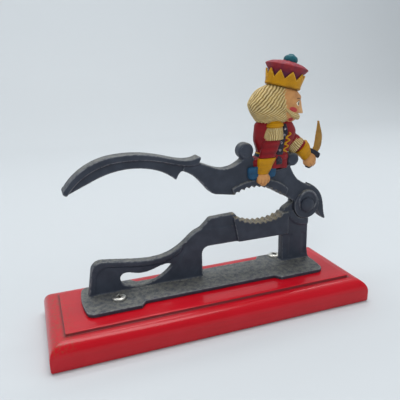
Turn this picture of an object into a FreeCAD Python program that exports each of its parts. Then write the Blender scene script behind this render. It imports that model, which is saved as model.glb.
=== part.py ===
import FreeCAD, Part
import math
import os

# Lever nutcracker press: a red board, two iron castings hinged on a rivet, and a painted king.
# Millimetres. The origin is the centre of the board's underside. X runs along the board towards
# the hinge, Y away from the side that faces the user, Z up.

# Board
board_length = 254.0
board_width = 89.0
board_thickness = 21.0
panel_margin = 12.3
panel_step = 2.0
board_round = 10.0
board_tuck = 1.5

# Flange of the lower casting
flange_x = 1.2
flange_y = 4.0
flange_thickness = 3.2
lobe_width = 46.0
waist_width = 35.0
lobe_length = 42.0
lobe_slant = 4.0
flange_bow = 2.6
flange_corner = 6.0
flange_margin_left = 6.1
flange_margin_right = 1.8

# Lower casting above the flange
casting_y = 11.5
casting_half = 3.6
web_half = 2.2
block_half = 2.8
shoulder_half = 3.0
post_half = 3.8
collar_half = 5.0
bay_length = 64.6
mid_post_width = 29.3
window_length = 73.9
window_height = 25.7
window_round = 6.0
post_width = 25.4
rim_thickness = 4.6
slot_lip = 2.9
slot_height = 10.9
ledge_height = 39.8
shoulder_height = 50.0
post_flare = 9.0

# Hinge
pivot_inset = 3.3
pivot_height = 50.0
tongue_radius = 10.0
tongue_half = 2.5
ear_radius = 12.0
ear_half = 6.5
ear_gap = 0.4
pocket_gap = 0.4
collar_band = 6.0
rivet_radius = 3.2
rivet_gap = 0.06
rivet_head_radius = 6.3
rivet_head_height = 3.0
rivet_tail_radius = 5.0
rivet_tail_height = 1.8
rivet_seat = 0.15
swing_degrees = 36.0

# Jaws
jaw_half = 6.0
jaw_arc_radius = 45.5
jaw_arc_x = -41.6
jaw_arc_z = 36.7
jaw_arc_start = -36.0
jaw_arc_end = 24.0
lower_teeth = 10
tooth_depth = 2.2
upper_arc_radius = 34.5
upper_arc_x = -50.4
upper_arc_z = -13.2
upper_arc_teeth = 8
upper_line_teeth = 3
upper_line_slope = 30.5
upper_arc_start = -29.5
rib_width = 6.2
rib_half = 6.8

# Lever
lever_half = 4.6
grip_half = 5.8
grip_web_half = 3.0
grip_rim = 5.0
fin_half = 4.0
front_scroll_radius = 5.5
rear_scroll_radius = 6.7
scroll_half = 5.0
scroll_groove = 0.9
scroll_bevel = 1.5
scroll_turns = 2

# Screws
screw_shank_radius = 2.1
screw_head_radius = 5.3
screw_head_height = 2.3
screw_depth = 14.0
screw_x = 73.0
screw_front_y = -7.0
screw_back_y = 16.6
recess_width = 1.4
recess_length = 5.6
recess_depth = 1.1

# King: its seat is drawn from the pivot, everything else of it from the seat
king_x = -31.3
king_z = 34.9
body_sides = 24
limb_sides = 16
head_tilt = 14.0
head_x = 6.5
head_z = 65.4
crown_x = 2.3
crown_bottom = 14.5
crown_top = 16.9
crown_depth_share = 0.7
crown_height = 12.0
crown_points = 10
crown_notch = 6.0
crown_wall = 2.2
cap_reach = 17.9
cap_rise = 20.5
cap_depth_share = 0.74
pompon_x = 4.2
pompon_radius = 5.5
pompon_height = 7.2
trim_rise = 0.9
moustache_rise = 1.8
button_radius = 1.5
sleeve_offset = 7.6
sleeve_half = 4.0
leg_offset = 5.4
leg_half = 3.0
far_arm_offset = 3.0
far_arm_x = 15.5
far_arm_z = 26.0
far_arm_lean = -46.0
sword_thickness = 3.2

flange_top = board_thickness + flange_thickness
flange_length = (flange_margin_left + bay_length + mid_post_width + window_length
                 + post_width + flange_margin_right)
flange_left = flange_x - flange_length / 2
flange_right = flange_x + flange_length / 2
foot_x = flange_left + flange_margin_left
window_left = foot_x + bay_length + mid_post_width
window_right = window_left + window_length
window_top = flange_top + window_height
post_back = window_right + post_width
pivot_x = post_back - pivot_inset
pivot_z = flange_top + pivot_height
pocket_radius = ear_radius + pocket_gap
sink = 0.6
crumb_share = 0.06
arc_error = 0.12


def at(x, z, y=0.0):
    return FreeCAD.Vector(x, y, z)


def line(a, b):
    return Part.LineSegment(at(*a), at(*b)).toShape()


def arc(a, middle, b):
    return Part.Arc(at(*a), at(*middle), at(*b)).toShape()


def curve(points):
    """A smooth line through the points, drawn as a chain of tangent arcs."""
    spline = Part.BSplineCurve()
    spline.interpolate([at(*p) for p in points])
    return Part.Wire([a.toShape() for a in spline.toBiArcs(arc_error)])


def flat_sided(rings):
    """A solid whose wall joins rings of points by flat facets, closed by its first and last ring."""
    corners = [rings[0], rings[-1]]
    for low, high in zip(rings, rings[1:]):
        for i in range(len(low)):
            corners.append([low[i - 1], low[i], high[i]])
            corners.append([low[i - 1], high[i], high[i - 1]])
    faces = [Part.Face(Part.makePolygon(c + c[:1])) for c in corners]
    solid = Part.Solid(Part.Shell(faces))
    if solid.Volume < 0:
        solid.reverse()
    return solid


def lines(points):
    return [line(a, b) for a, b in zip(points, points[1:])]


def slab(edges, half, centre=casting_y):
    """A flat plate with the outline in the XZ plane, half as thick each way from its centre."""
    face = Part.Face(Part.Wire(edges))
    face.translate(FreeCAD.Vector(0, centre - half, 0))
    return face.extrude(FreeCAD.Vector(0, 2 * half, 0))


def disc(x, z, radius, half, centre=casting_y):
    start = FreeCAD.Vector(x, centre - half, z)
    return Part.makeCylinder(radius, 2 * half, start, FreeCAD.Vector(0, 1, 0))


def join(first, *others):
    return first.fuse(list(others)).removeSplitter()


def from_pivot(x, z):
    return (pivot_x + x, pivot_z + z)


def edges_where(shape, test):
    return [e for e in shape.Edges if all(test(v.Point) for v in e.Vertexes)]


def near(a, b):
    return abs(a - b) < 0.01


# Board: a plank with a rounded-over edge and a raised centre panel
def base_board():
    plank_height = board_thickness - panel_step
    plank = Part.makeBox(board_length, board_width, plank_height,
                         FreeCAD.Vector(-board_length / 2, -board_width / 2, 0))
    plank = plank.makeFillet(board_round, edges_where(plank, lambda p: near(p.z, plank_height)))
    plank = plank.makeChamfer(board_tuck, edges_where(plank, lambda p: near(p.z, 0)))
    panel = Part.makeBox(board_length - 2 * panel_margin, board_width - 2 * panel_margin,
                         board_thickness - sink,
                         FreeCAD.Vector(panel_margin - board_length / 2,
                                        panel_margin - board_width / 2, sink))
    board = join(plank, panel)
    for place in screw_places():
        board = board.cut(screw_shank(place, screw_shank_radius))
    return board


def pan_head(radius, height, foot, axis):
    """A round head whose top edge is eased by a bevel."""
    ease = 0.5 * height
    wall = Part.makeCylinder(radius, height - ease, foot, axis)
    return wall.fuse(Part.makeCone(radius, radius - ease, ease, foot + axis * (height - ease), axis))


# Screws: pan heads with a cross recess, one at the front left, one at the back right
def screw_places():
    return [(flange_x - screw_x, flange_y + screw_front_y), (flange_x + screw_x, flange_y + screw_back_y)]


def screw_shank(place, radius):
    x, y = place
    bottom = flange_top - flange_thickness - screw_depth
    height = flange_top - bottom
    return Part.makeCylinder(radius, height, FreeCAD.Vector(x, y, bottom))


def screw(place):
    x, y = place
    up = FreeCAD.Vector(0, 0, 1)
    head = pan_head(screw_head_radius, screw_head_height, FreeCAD.Vector(x, y, flange_top), up)
    for along, across in ((recess_length, recess_width), (recess_width, recess_length)):
        head = head.cut(Part.makeBox(along, across, recess_depth * 2,
                                     FreeCAD.Vector(x - along / 2, y - across / 2,
                                                    flange_top + screw_head_height - recess_depth)))
    return join(head, screw_shank(place, screw_shank_radius))


# Flange: two broad lobes and a waist, with bowed ends
def flange():
    half = flange_length / 2
    inner = half - lobe_length
    waist = inner - lobe_slant
    square = half - flange_bow
    wide = lobe_width / 2
    narrow = waist_width / 2
    side = [(-square, -wide), (-inner, -wide), (-waist, -narrow), (waist, -narrow), (inner, -wide),
            (square, -wide)]
    back = [(-x, -y) for x, y in side]

    def spot(x, y):
        return FreeCAD.Vector(flange_x + x, flange_y + y, board_thickness)

    edges = [Part.LineSegment(spot(*a), spot(*b)).toShape() for a, b in zip(side, side[1:])]
    edges.append(Part.Arc(spot(*side[-1]), spot(half, 0), spot(*back[0])).toShape())
    edges += [Part.LineSegment(spot(*a), spot(*b)).toShape() for a, b in zip(back, back[1:])]
    edges.append(Part.Arc(spot(*back[-1]), spot(-half, 0), spot(*side[0])).toShape())
    plate = Part.Face(Part.Wire(edges)).extrude(FreeCAD.Vector(0, 0, flange_thickness))
    corners = [e for e in plate.Edges if near(e.Length, flange_thickness)
               and near(abs(e.CenterOfMass.x - flange_x), square)]
    return plate.makeFillet(flange_corner, corners)


# Lower casting
def rim_path():
    """The outer line of the rim: up the end, round its corner and along the swept top."""
    base = flange_top - sink
    left = foot_x
    corner = [(left + 3.5, flange_top + 19.9), (left + 6.3, flange_top + 25.3),
              (left + 12.5, flange_top + 27.1)]
    sweep = [corner[-1], (left + 28.0, flange_top + 25.0), (left + 46.0, flange_top + 22.8),
             (window_left - 28.8, flange_top + 24.6), (window_left - 17.0, flange_top + 30.8),
             (window_left - 8.0, flange_top + 38.0), (window_left - 1.0, flange_top + ledge_height + 1.6)]
    return [line((left, base), corner[0]), arc(*corner), curve(sweep)], sweep


def wide_body():
    """Rim, middle post and beam in one plate, before its bays are hollowed."""
    path, sweep = rim_path()
    base = flange_top - sink
    ledge_end = (pivot_x + jaw_arc_x - 16.0, flange_top + ledge_height - 0.8)
    bend = window_round * (1 - math.sqrt(0.5))
    window_corner = [(window_left + window_round, window_top),
                     (window_left + bend, window_top - bend), (window_left, window_top - window_round)]
    path += lines([sweep[-1], ledge_end, (ledge_end[0], window_top), window_corner[0]])
    path.append(arc(*window_corner))
    path += lines([window_corner[-1], (window_left, base), (foot_x, base)])
    return slab(path, casting_half)


def bay_hollow(side):
    """What is taken out of one face of the bay between the end block and the middle post."""
    depth = casting_half - web_half
    centre = casting_y + side * (web_half + depth / 2 + sink / 2)
    base = flange_top - sink
    top = [(foot_x + 13.0, flange_top + 27.1 - rim_thickness),
           (foot_x + 28.0, flange_top + 25.0 - rim_thickness),
           (foot_x + 46.0, flange_top + 22.8 - rim_thickness),
           (window_left - 28.0, flange_top + 24.6 - rim_thickness),
           (window_left - 19.0, flange_top + 29.4 - rim_thickness),
           (window_left - 14.0, flange_top + 32.9 - rim_thickness)]
    foot = (window_left - 29.0, base)
    outline = [curve(top)] + lines([top[-1], foot, (foot_x + 25.0, base),
                                    (foot_x + 24.0, flange_top + 14.4)])
    crown = (foot_x + 12.0, flange_top + 21.0)
    outline.append(arc((foot_x + 24.0, flange_top + 14.4), (foot_x + 20.0, flange_top + 19.2), crown))
    outline.append(line(crown, top[0]))
    return slab(outline, depth / 2 + sink / 2, centre)


def block_hollow(side):
    """The end block lies a little behind the rim; its top is arched."""
    depth = casting_half - block_half
    centre = casting_y + side * (block_half + depth / 2 + sink / 2)
    base = flange_top - sink
    left = foot_x + rim_thickness
    outline = lines([(foot_x + 25.0, base), (left - 0.6, base), (left + 2.0, flange_top + 16.0)])
    outline.append(arc((left + 2.0, flange_top + 16.0), (foot_x + 13.0, flange_top + 21.2),
                       (foot_x + 24.0, flange_top + 14.4)))
    outline.append(line((foot_x + 24.0, flange_top + 14.4), (foot_x + 25.0, base)))
    return slab(outline, depth / 2 + sink / 2, centre)


def post_bevel(side):
    """The sloping face that leads from the bay's web out to the front of the middle post."""
    inner = casting_y + side * web_half
    outer = casting_y + side * (casting_half + sink)
    rings = []
    for z, start in ((flange_top - sink, window_left - 29.0), (flange_top + 31.9, window_left - 15.5)):
        rings.append([FreeCAD.Vector(start, inner, z), FreeCAD.Vector(window_left - 10.5, outer, z),
                      FreeCAD.Vector(start, outer, z)])
    return flat_sided(rings)


def slot_cut():
    """The lens-shaped slot through the bay."""
    low = flange_top + slot_lip
    left = (foot_x + 25.6, low + 8.6)
    right = (window_left - 25.4, flange_top + slot_height + 4.0)
    under = [(foot_x + 27.0, low + 3.0), (foot_x + 32.0, low), (window_left - 34.0, low + 4.4)]
    over = [(window_left - 29.5, right[1] + 1.0), (window_left - 42.0, flange_top + slot_height + 2.2),
            (foot_x + 38.0, flange_top + slot_height + 1.6), (foot_x + 29.0, flange_top + slot_height + 3.2)]
    return slab([curve([left] + under + [right]), curve([right] + over + [left])], casting_half * 2)


def shoulder_block():
    """The thin shoulder that rises above the beam in front of the teeth."""
    top = flange_top + shoulder_height
    start = (window_left - 1.0, flange_top + ledge_height - 4.0)
    bend = [(window_left + 6.6, top - 1.6), (window_left + 8.0, top - 0.5), (window_left + 10.4, top - 0.2)]
    heel = (pivot_x + jaw_arc_x - 24.8, top + 0.6)
    root = (pivot_x + jaw_arc_x - 14.0, flange_top + ledge_height - 4.0)
    outline = lines([start, (window_left - 1.0, flange_top + ledge_height + 1.5), bend[0]])
    outline.append(arc(*bend))
    outline += lines([bend[-1], heel, root, start])
    return slab(outline, shoulder_half)


def jaw_path(centre, radius, depth, start, end, count, up):
    """Points from crest to root and back along an arc, teeth spread evenly by angle."""
    x, z = centre
    points = []
    step = (end - start) / count
    for i in range(2 * count + 1):
        angle = math.radians(start + step * i / 2)
        reach = radius + (depth if i % 2 else 0)
        points.append((x + reach * math.sin(angle), z + (reach if up else -reach) * math.cos(angle)))
    return points


def lower_jaw():
    centre = from_pivot(jaw_arc_x, jaw_arc_z)
    crest = jaw_path(centre, jaw_arc_radius, tooth_depth, jaw_arc_start, jaw_arc_end, lower_teeth, False)
    bottom = window_top
    outline = lines([(window_right + 5.0, bottom), (crest[0][0] + 4.0, bottom),
                     (crest[0][0] + 0.4, crest[0][1] - 6.0)] + crest
                    + [(window_right + 5.0, crest[-1][1]), (window_right + 5.0, bottom)])
    return slab(outline, jaw_half)


def right_post():
    """The post below the hinge, its shoulder under the lever and its flared back foot."""
    base = flange_top - sink
    crest_x = pivot_x - 22.0
    hump = [(crest_x, pivot_z - 6.0), (crest_x + 1.2, pivot_z - 2.1), (crest_x + 4.0, pivot_z)]
    nose = (pivot_x - 11.6, pivot_z + 3.7)
    flare_top = (post_back, flange_top + post_flare + 4.0)
    flare = [flare_top, (post_back + 0.4, flange_top + 4.5), (post_back + 1.6, base)]
    bend = 4.0 * (1 - math.sqrt(0.5))
    outline = lines([(window_right, base), (window_right, window_top - 4.0)])
    outline.append(arc((window_right, window_top - 4.0), (window_right - bend, window_top - bend),
                       (window_right - 4.0, window_top)))
    outline += lines([(window_right - 4.0, window_top), (window_right - 4.0, window_top + 5.0),
                      (window_right, window_top + 10.0), (window_right + 2.0, pivot_z - 8.0), hump[0]])
    outline.append(arc(*hump))
    outline += lines([hump[-1], nose, (pivot_x, pivot_z), (post_back, pivot_z), flare[0]])
    outline.append(arc(*flare))
    outline.append(line(flare[-1], (window_right, base)))
    post = slab(outline, post_half)
    post = post.cut(disc(pivot_x, pivot_z, pocket_radius, post_half * 2))
    return post


def pocket_collar():
    """A raised band round the lower edge of the hinge pocket."""
    band = disc(pivot_x, pivot_z, pocket_radius + collar_band, collar_half)
    band = band.cut(disc(pivot_x, pivot_z, pocket_radius, collar_half * 2))
    reach = pocket_radius + collar_band
    window = lines([(pivot_x - reach, pivot_z - 4.0), (post_back, pivot_z - 4.0),
                    (post_back, pivot_z - reach), (pivot_x - reach, pivot_z - reach),
                    (pivot_x - reach, pivot_z - 4.0)])
    return band.common(slab(window, collar_half))


def post_groove(x, side):
    """A shallow upright hollow down the face of a post."""
    scoop_radius = 4.5
    centre = FreeCAD.Vector(x, casting_y + side * (post_half + scoop_radius - 0.7), flange_top + 3.0)
    return Part.makeCylinder(scoop_radius, window_height - 5.0, centre, FreeCAD.Vector(0, 0, 1))


def tongue():
    """The thin middle of the hinge, which the lever's ears straddle."""
    plate = disc(pivot_x, pivot_z, tongue_radius, tongue_half)
    neck = slab(lines([from_pivot(-11.6, 3.7), from_pivot(0, 0), (post_back, pivot_z),
                       (post_back, pivot_z - 20.0), from_pivot(-20.0, -20.0), from_pivot(-11.6, 3.7)]),
                tongue_half)
    return join(plate, neck)


def lower_casting():
    body = wide_body()
    for side in (-1, 1):
        body = body.cut(bay_hollow(side))
        body = body.cut(block_hollow(side))
        body = body.cut(post_bevel(side))
    body = body.cut(slot_cut())
    casting = join(body, flange(), shoulder_block(), lower_jaw(), right_post(), pocket_collar(), tongue())
    for side in (-1, 1):
        casting = casting.cut(post_groove(window_right + 8.6, side))
        casting = casting.cut(post_groove(window_right + 21.4, side))
    for place in screw_places():
        casting = casting.cut(screw_shank(place, screw_shank_radius))
    return casting.cut(disc(pivot_x, pivot_z, rivet_radius, ear_half))


def pivot_rivet():
    """A shank with a domed head in front and a flatter set tail behind."""
    reach = ear_half + rivet_seat
    shank = disc(pivot_x, pivot_z, rivet_radius, reach)
    axis = FreeCAD.Vector(0, 1, 0)
    front = FreeCAD.Vector(pivot_x, casting_y - reach, pivot_z)
    behind = FreeCAD.Vector(pivot_x, casting_y + reach, pivot_z)
    return join(shank, pan_head(rivet_head_radius, rivet_head_height, front, -axis),
                pan_head(rivet_tail_radius, rivet_tail_height, behind, axis))


# Lever casting, drawn from the pivot
def grip_outline():
    """The curved handle from its tip to the two spurs, closed across the neck."""
    top = [from_pivot(*p) for p in ((-198.8, 37.9), (-187.9, 48.7), (-171.7, 56.3), (-153.3, 58.4),
                                    (-131.1, 55.8), (-113.4, 50.9), (-103.3, 49.8), (-97.2, 51.4))]
    spur = [top[-1], from_pivot(-95.4, 51.0), from_pivot(-95.2, 49.4)]
    under = [from_pivot(*p) for p in ((-115.1, 34.5), (-128.3, 42.9), (-145.6, 46.8), (-162.8, 45.7),
                                      (-179.0, 40.5), (-195.8, 33.1))]
    tip = [under[-1], from_pivot(-199.8, 33.5), top[0]]
    edges = [curve(top), arc(*spur)]
    edges += lines([spur[-1], from_pivot(-97.4, 44.9), from_pivot(-109.2, 41.9),
                    from_pivot(-112.8, 38.9), under[0]])
    edges.append(curve(under))
    edges.append(arc(*tip))
    return edges


def grip():
    """A thin web under a broad rim that follows the top and wraps the tip."""
    outline = grip_outline()
    solid = slab(outline, grip_half)
    hollow = slab(outline, grip_half)
    hollow.translate(FreeCAD.Vector(0.4 * grip_rim, 0, -grip_rim))
    rim = solid.cut(hollow)
    return join(rim, slab(outline, grip_web_half))


def lever_body():
    """Neck, saddle, and the arm that runs down to the ears and the tail."""
    neck_top = [from_pivot(*p) for p in ((-108.2, 46.9), (-93.6, 45.3), (-84.5, 41.5), (-78.5, 39.7),
                                         (-71.8, 39.5), (-65.1, 41.5), (-58.6, 45.7), (-51.5, 49.3))]
    saddle = [neck_top[-1], from_pivot(-36.4, 34.9), from_pivot(-16.9, 37.0)]
    back = [saddle[-1], from_pivot(-14.5, 32.3), from_pivot(-9.0, 23.9), from_pivot(-0.8, 18.6),
            from_pivot(8.0, 13.4), from_pivot(12.8, 8.6), from_pivot(15.2, 2.4)]
    heel = from_pivot(-12.6, 4.6)
    jaw_end = from_pivot(-17.6, 8.6)
    arch = [jaw_end, from_pivot(-33.3, 18.8), from_pivot(upper_arc_x, upper_arc_z + upper_arc_radius + 4.0),
            from_pivot(-66.7, 17.8)]
    under = [from_pivot(-81.5, 19.1), from_pivot(-85.9, 20.5), from_pivot(-90.6, 24.9),
             from_pivot(-96.8, 32.3), from_pivot(-106.0, 39.4), from_pivot(-110.2, 41.3)]
    edges = [curve(neck_top), arc(*saddle), curve(back)]
    edges += lines([back[-1], from_pivot(0, 0), heel, jaw_end])
    edges.append(curve(arch))
    edges.append(line(arch[-1], under[0]))
    edges.append(curve(under))
    edges.append(line(under[-1], neck_top[0]))
    return slab(edges, lever_half)


def upper_crest():
    """Crest and root points of the upper teeth: an arc, then a straight run down to the heel."""
    centre = from_pivot(upper_arc_x, upper_arc_z)
    points = jaw_path(centre, upper_arc_radius, tooth_depth, upper_arc_start, upper_line_slope,
                      upper_arc_teeth, True)
    pitch = upper_arc_radius * math.radians(upper_line_slope - upper_arc_start) / upper_arc_teeth
    slope = math.radians(upper_line_slope)
    ahead = (math.cos(slope), -math.sin(slope))
    inward = (math.sin(slope), math.cos(slope))
    start = points[-1]
    for i in range(1, 2 * upper_line_teeth + 1):
        rise = tooth_depth if i % 2 else 0
        points.append((start[0] + pitch * i / 2 * ahead[0] + rise * inward[0],
                       start[1] + pitch * i / 2 * ahead[1] + rise * inward[1]))
    return points


def upper_jaw():
    """The toothed band and the arched rib above it, proud of the lever's sides."""
    crest = upper_crest()
    end = crest[-1]
    rib = [(end[0] + 3.0, end[1] + 6.6), from_pivot(-30.9, 24.8),
           from_pivot(upper_arc_x, upper_arc_z + upper_arc_radius + rib_width), from_pivot(-70.0, 22.3)]
    band = lines(crest + [rib[0]])
    band.append(curve(rib))
    band.append(line(rib[-1], crest[0]))
    toothed = slab(band, rib_half)
    heel = slab(lines([crest[0], rib[-1], from_pivot(-81.8, 24.8), from_pivot(-81.5, 19.1), crest[0]]),
                lever_half)
    return join(toothed, heel)


def half_ring(x, z, inner, outer, upper, side):
    """Half of a flat ring let into the side of a scroll."""
    y = casting_y + side * scroll_half
    ring = disc(x, z, outer, scroll_groove, y).cut(disc(x, z, inner, scroll_groove, y))
    reach = outer * 2
    low = z if upper else z - reach
    return ring.common(Part.makeBox(2 * reach, 2 * scroll_half, reach,
                                    FreeCAD.Vector(x - reach, y - scroll_half, low)))


def drum(x, z, radius, half, bevel):
    """A short round bar along Y with bevelled rims, turned from its half section."""
    rim = [(radius - bevel, half), (radius, half - bevel)]
    profile = [(0, half)] + rim + [(r, -y) for r, y in reversed(rim)] + [(0, -half), (0, half)]
    section = Part.Face(Part.makePolygon([FreeCAD.Vector(x + r, casting_y + y, z) for r, y in profile]))
    return section.revolve(FreeCAD.Vector(x, casting_y, z), FreeCAD.Vector(0, 1, 0), 360)


def scroll(x, z, radius):
    """A volute: a drum whose faces carry a groove of half rings that wind inwards."""
    volute = drum(x, z, radius, scroll_half, scroll_bevel)
    width = radius * 0.14
    shift = width * 0.9
    for side in (-1, 1):
        outer = (radius - scroll_bevel) * 0.98
        place = x
        for turn in range(scroll_turns):
            volute = volute.cut(half_ring(place, z, outer - width, outer, turn % 2 == 0, side))
            outer -= shift
            place += shift if turn % 2 == 0 else -shift
    return volute


def ear_ring():
    """A raised arc on each ear, above the rivet's head."""
    ring = disc(pivot_x + 0.5, pivot_z + 3.6, 9.4, ear_half + 1.0)
    ring = ring.cut(disc(pivot_x + 0.5, pivot_z + 3.6, 7.4, ear_half * 2))
    return ring.cut(disc(pivot_x, pivot_z, rivet_head_radius + 0.5, ear_half * 2))


def tail_fin():
    outer = [from_pivot(*p) for p in ((4.0, 17.8), (12.1, 11.8), (15.6, 6.7), (17.3, 1.5), (20.5, -14.4))]
    tip = [outer[-1], from_pivot(20.3, -15.8), from_pivot(19.1, -15.8)]
    inner = [tip[-1], from_pivot(15.5, -12.9), from_pivot(12.6, -8.2)]
    edges = [curve(outer), arc(*tip), arc(*inner)]
    edges += lines([inner[-1], from_pivot(8.0, 0), outer[0]])
    return slab(edges, fin_half)


def tongue_slot():
    """The gap between the ears, swept over the lever's whole swing."""
    half = tongue_half + ear_gap
    reach = pocket_radius + 1.0
    sweep = [from_pivot(0, 0)]
    first = 160.0
    last = 290.0 + swing_degrees
    steps = 8
    for i in range(steps + 1):
        angle = math.radians(first + (last - first) * i / steps)
        sweep.append(from_pivot(reach * math.cos(angle), reach * math.sin(angle)))
    sweep.append(from_pivot(0, 0))
    wedge = slab(lines(sweep), half)
    return join(disc(pivot_x, pivot_z, tongue_radius + ear_gap, half), wedge)


def rear_scroll_place():
    return from_pivot(-56.4, 51.7)


def front_scroll_place():
    return from_pivot(-13.3, 40.7)


def lever_casting():
    rear = rear_scroll_place()
    front = front_scroll_place()
    lever = join(lever_body(), grip(), upper_jaw(),
                 scroll(rear[0], rear[1], rear_scroll_radius),
                 scroll(front[0], front[1], front_scroll_radius),
                 disc(pivot_x, pivot_z, ear_radius, ear_half), ear_ring(), tail_fin())
    lever = lever.cut(tongue_slot())
    return lever.cut(disc(pivot_x, pivot_z, rivet_radius + rivet_gap, ear_half * 2))


# King
def oval(z, x, reach, depth, power, sides):
    """Points of an oval in a level plane, squarer than an ellipse when the power is above 2."""
    points = []
    for i in range(sides):
        angle = 2 * math.pi * (i + 0.5) / sides
        along = math.copysign(abs(math.cos(angle)) ** (2 / power), math.cos(angle))
        across = math.copysign(abs(math.sin(angle)) ** (2 / power), math.sin(angle))
        points.append(at(x + reach * along, z, depth * across))
    return points


def form(sections, power=2.3, grow=0.0, sides=limb_sides):
    """A rounded body through ovals: height, centre, half length and half depth of each."""
    return flat_sided([oval(z, x, reach + grow, depth + grow, power, sides)
                       for z, x, reach, depth in sections])


def placed(shape, x, y, z, lean=0.0):
    """Leans a shape forward about its own origin and puts it on the king's seat."""
    where = FreeCAD.Vector(pivot_x + king_x + x, casting_y + y, pivot_z + king_z + z)
    shape.Placement = FreeCAD.Placement(where, FreeCAD.Rotation(FreeCAD.Vector(0, 1, 0), lean))
    return shape


def on_seat(shape, y=0.0):
    return placed(shape, 0, y, 0)


def on_head(shape):
    return placed(shape, head_x, 0, head_z, head_tilt)


def on_far_arm(shape):
    return placed(shape, far_arm_x, far_arm_offset, far_arm_z, far_arm_lean)


def prism(points, low, high):
    face = Part.Face(Part.Wire(lines(points + points[:1])))
    face.translate(FreeCAD.Vector(0, low, 0))
    return face.extrude(FreeCAD.Vector(0, high - low, 0))


def coat_form(grow=0.0):
    body = form([(-5.0, -3.4, 17.4, 8.6), (5.0, -3.4, 17.4, 8.8), (12.6, 0.0, 14.0, 8.2),
                 (24.0, 1.6, 18.0, 8.8), (31.0, 2.4, 18.6, 8.8), (38.0, 1.2, 16.4, 7.8),
                 (41.0, 1.2, 12.6, 6.2)], 2.4, grow, body_sides)
    below_hem = prism([(-30.0, 3.6), (20.0, -1.8), (20.0, -20.0), (-30.0, -20.0)], -30.0, 30.0)
    return body.cut(below_hem)


def coat():
    return on_seat(coat_form())


def front_strip():
    """Outline of the black strip down the coat's front, and the space in front of the seat's plane."""
    return prism([(5.4, 37.0), (4.0, 30.0), (0.8, 23.0), (-0.8, 10.0), (-0.6, 4.0), (4.4, 4.0),
                  (4.2, 10.0), (5.2, 23.0), (9.0, 30.0), (8.5, 37.0)], -20.0, 0.0)


def belt():
    band = prism([(-30.0, 15.6), (24.0, 10.6), (24.0, 6.4), (-30.0, 10.8)], -20.0, 20.0)
    return on_seat(coat_form(trim_rise).common(band).cut(front_strip()))


def placket():
    return on_seat(coat_form(trim_rise).common(front_strip()))


def stud(x, z, y, radius, depth):
    """A twelve-sided peg along Y from a starting plane."""
    steps = [math.radians(30 * i) for i in range(12)]
    return flat_sided([[at(x + radius * math.cos(a), z + radius * math.sin(a), level) for a in steps]
                       for level in (y, y + depth)])


def buttons():
    """Round buttons down the front strip, each set on the cloth."""
    cloth = coat_form(trim_rise)
    row = []
    for x, z in ((6.8, 33.5), (5.8, 28.0), (3.2, 22.0), (2.2, 16.0), (1.8, 8.0)):
        ray = Part.LineSegment(at(x, z, -30.0), at(x, z)).toShape()
        face_y = ray.common(cloth).BoundBox.YMin
        row.append(stud(x, z, face_y - 0.6 * button_radius, button_radius, 1.6 * button_radius))
    return on_seat(Part.makeCompound(row))


def frogging():
    """Cord loops that reach forward from the front strip."""
    cloth = coat_form(trim_rise)
    loops = []
    for x, z in ((8.2, 27.2), (7.2, 21.2), (6.4, 15.4)):
        ring = stud(x, z, -20.0, 3.6, 20.0).cut(stud(x, z, -20.0, 2.2, 20.0))
        loops.append(cloth.common(ring))
    return on_seat(loops[0].fuse(loops[1:]).cut(front_strip()))


def right_sleeve():
    return on_seat(form([(10.3, -8.4, 7.0, sleeve_half), (22.0, -4.6, 7.4, sleeve_half),
                         (33.0, -2.4, 5.8, 3.6), (37.0, -1.8, 4.0, 2.8)]), -sleeve_offset)


def left_sleeve():
    return on_far_arm(form([(-17.5, 0.8, 6.2, 5.0), (-8.0, -0.5, 6.8, 5.4), (3.0, -1.0, 6.0, 5.0)]))


def fringes():
    near = on_seat(form([(24.6, -2.6, 8.0, 5.2), (29.0, -2.4, 7.8, 5.0), (34.6, -1.8, 6.6, 4.2)]),
                   -sleeve_offset)
    far = on_far_arm(form([(-15.6, -1.2, 8.2, 6.2), (-10.4, -1.2, 7.0, 5.8)]))
    return Part.makeCompound([near, far])


def epaulettes():
    near = on_seat(form([(34.4, -1.6, 7.0, 4.6), (37.4, -1.4, 6.6, 4.4), (39.8, -1.2, 3.8, 2.6)]),
                   -sleeve_offset)
    far = on_far_arm(form([(-10.6, -1.2, 7.0, 5.8), (-6.0, -1.2, 5.0, 4.6)]))
    return Part.makeCompound([near, far])


def head_form(grow=0.0):
    return form([(1.0, 4.4, 11.6, 7.8), (-5.0, 5.5, 14.0, 10.4), (-12.0, 5.5, 14.4, 10.6),
                 (-18.0, 5.5, 15.2, 10.4), (-23.0, 5.6, 14.6, 9.4), (-27.6, 7.0, 9.0, 6.0)], 2.3, grow,
                body_sides)


def nose():
    return prism([(17.0, -1.5), (22.3, -6.2), (26.2, -15.6), (25.8, -16.9), (21.8, -18.3), (16.0, -18.3)],
                 -2.6, 2.6)


def head():
    return on_head(join(head_form(), nose()))


def moustache():
    """Swept back along both cheeks, its tips curling up."""
    outline = [(3.6, -13.4), (6.6, -16.4), (12.0, -18.2), (23.6, -18.2), (23.6, -22.0), (12.4, -22.4),
               (6.2, -20.0), (2.4, -15.6)]
    return on_head(head_form(moustache_rise).common(prism(outline, -20.0, 20.0)))


def hair():
    return on_head(form([(0.6, 0.0, 11.4, 7.6), (-6.0, -4.2, 14.6, 10.4), (-14.0, -5.2, 17.2, 11.6),
                         (-19.5, -5.4, 17.6, 11.6), (-25.5, -4.0, 15.6, 10.6),
                         (-31.2, -4.0, 10.6, 7.0)], 2.5, 0.0, body_sides))


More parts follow.
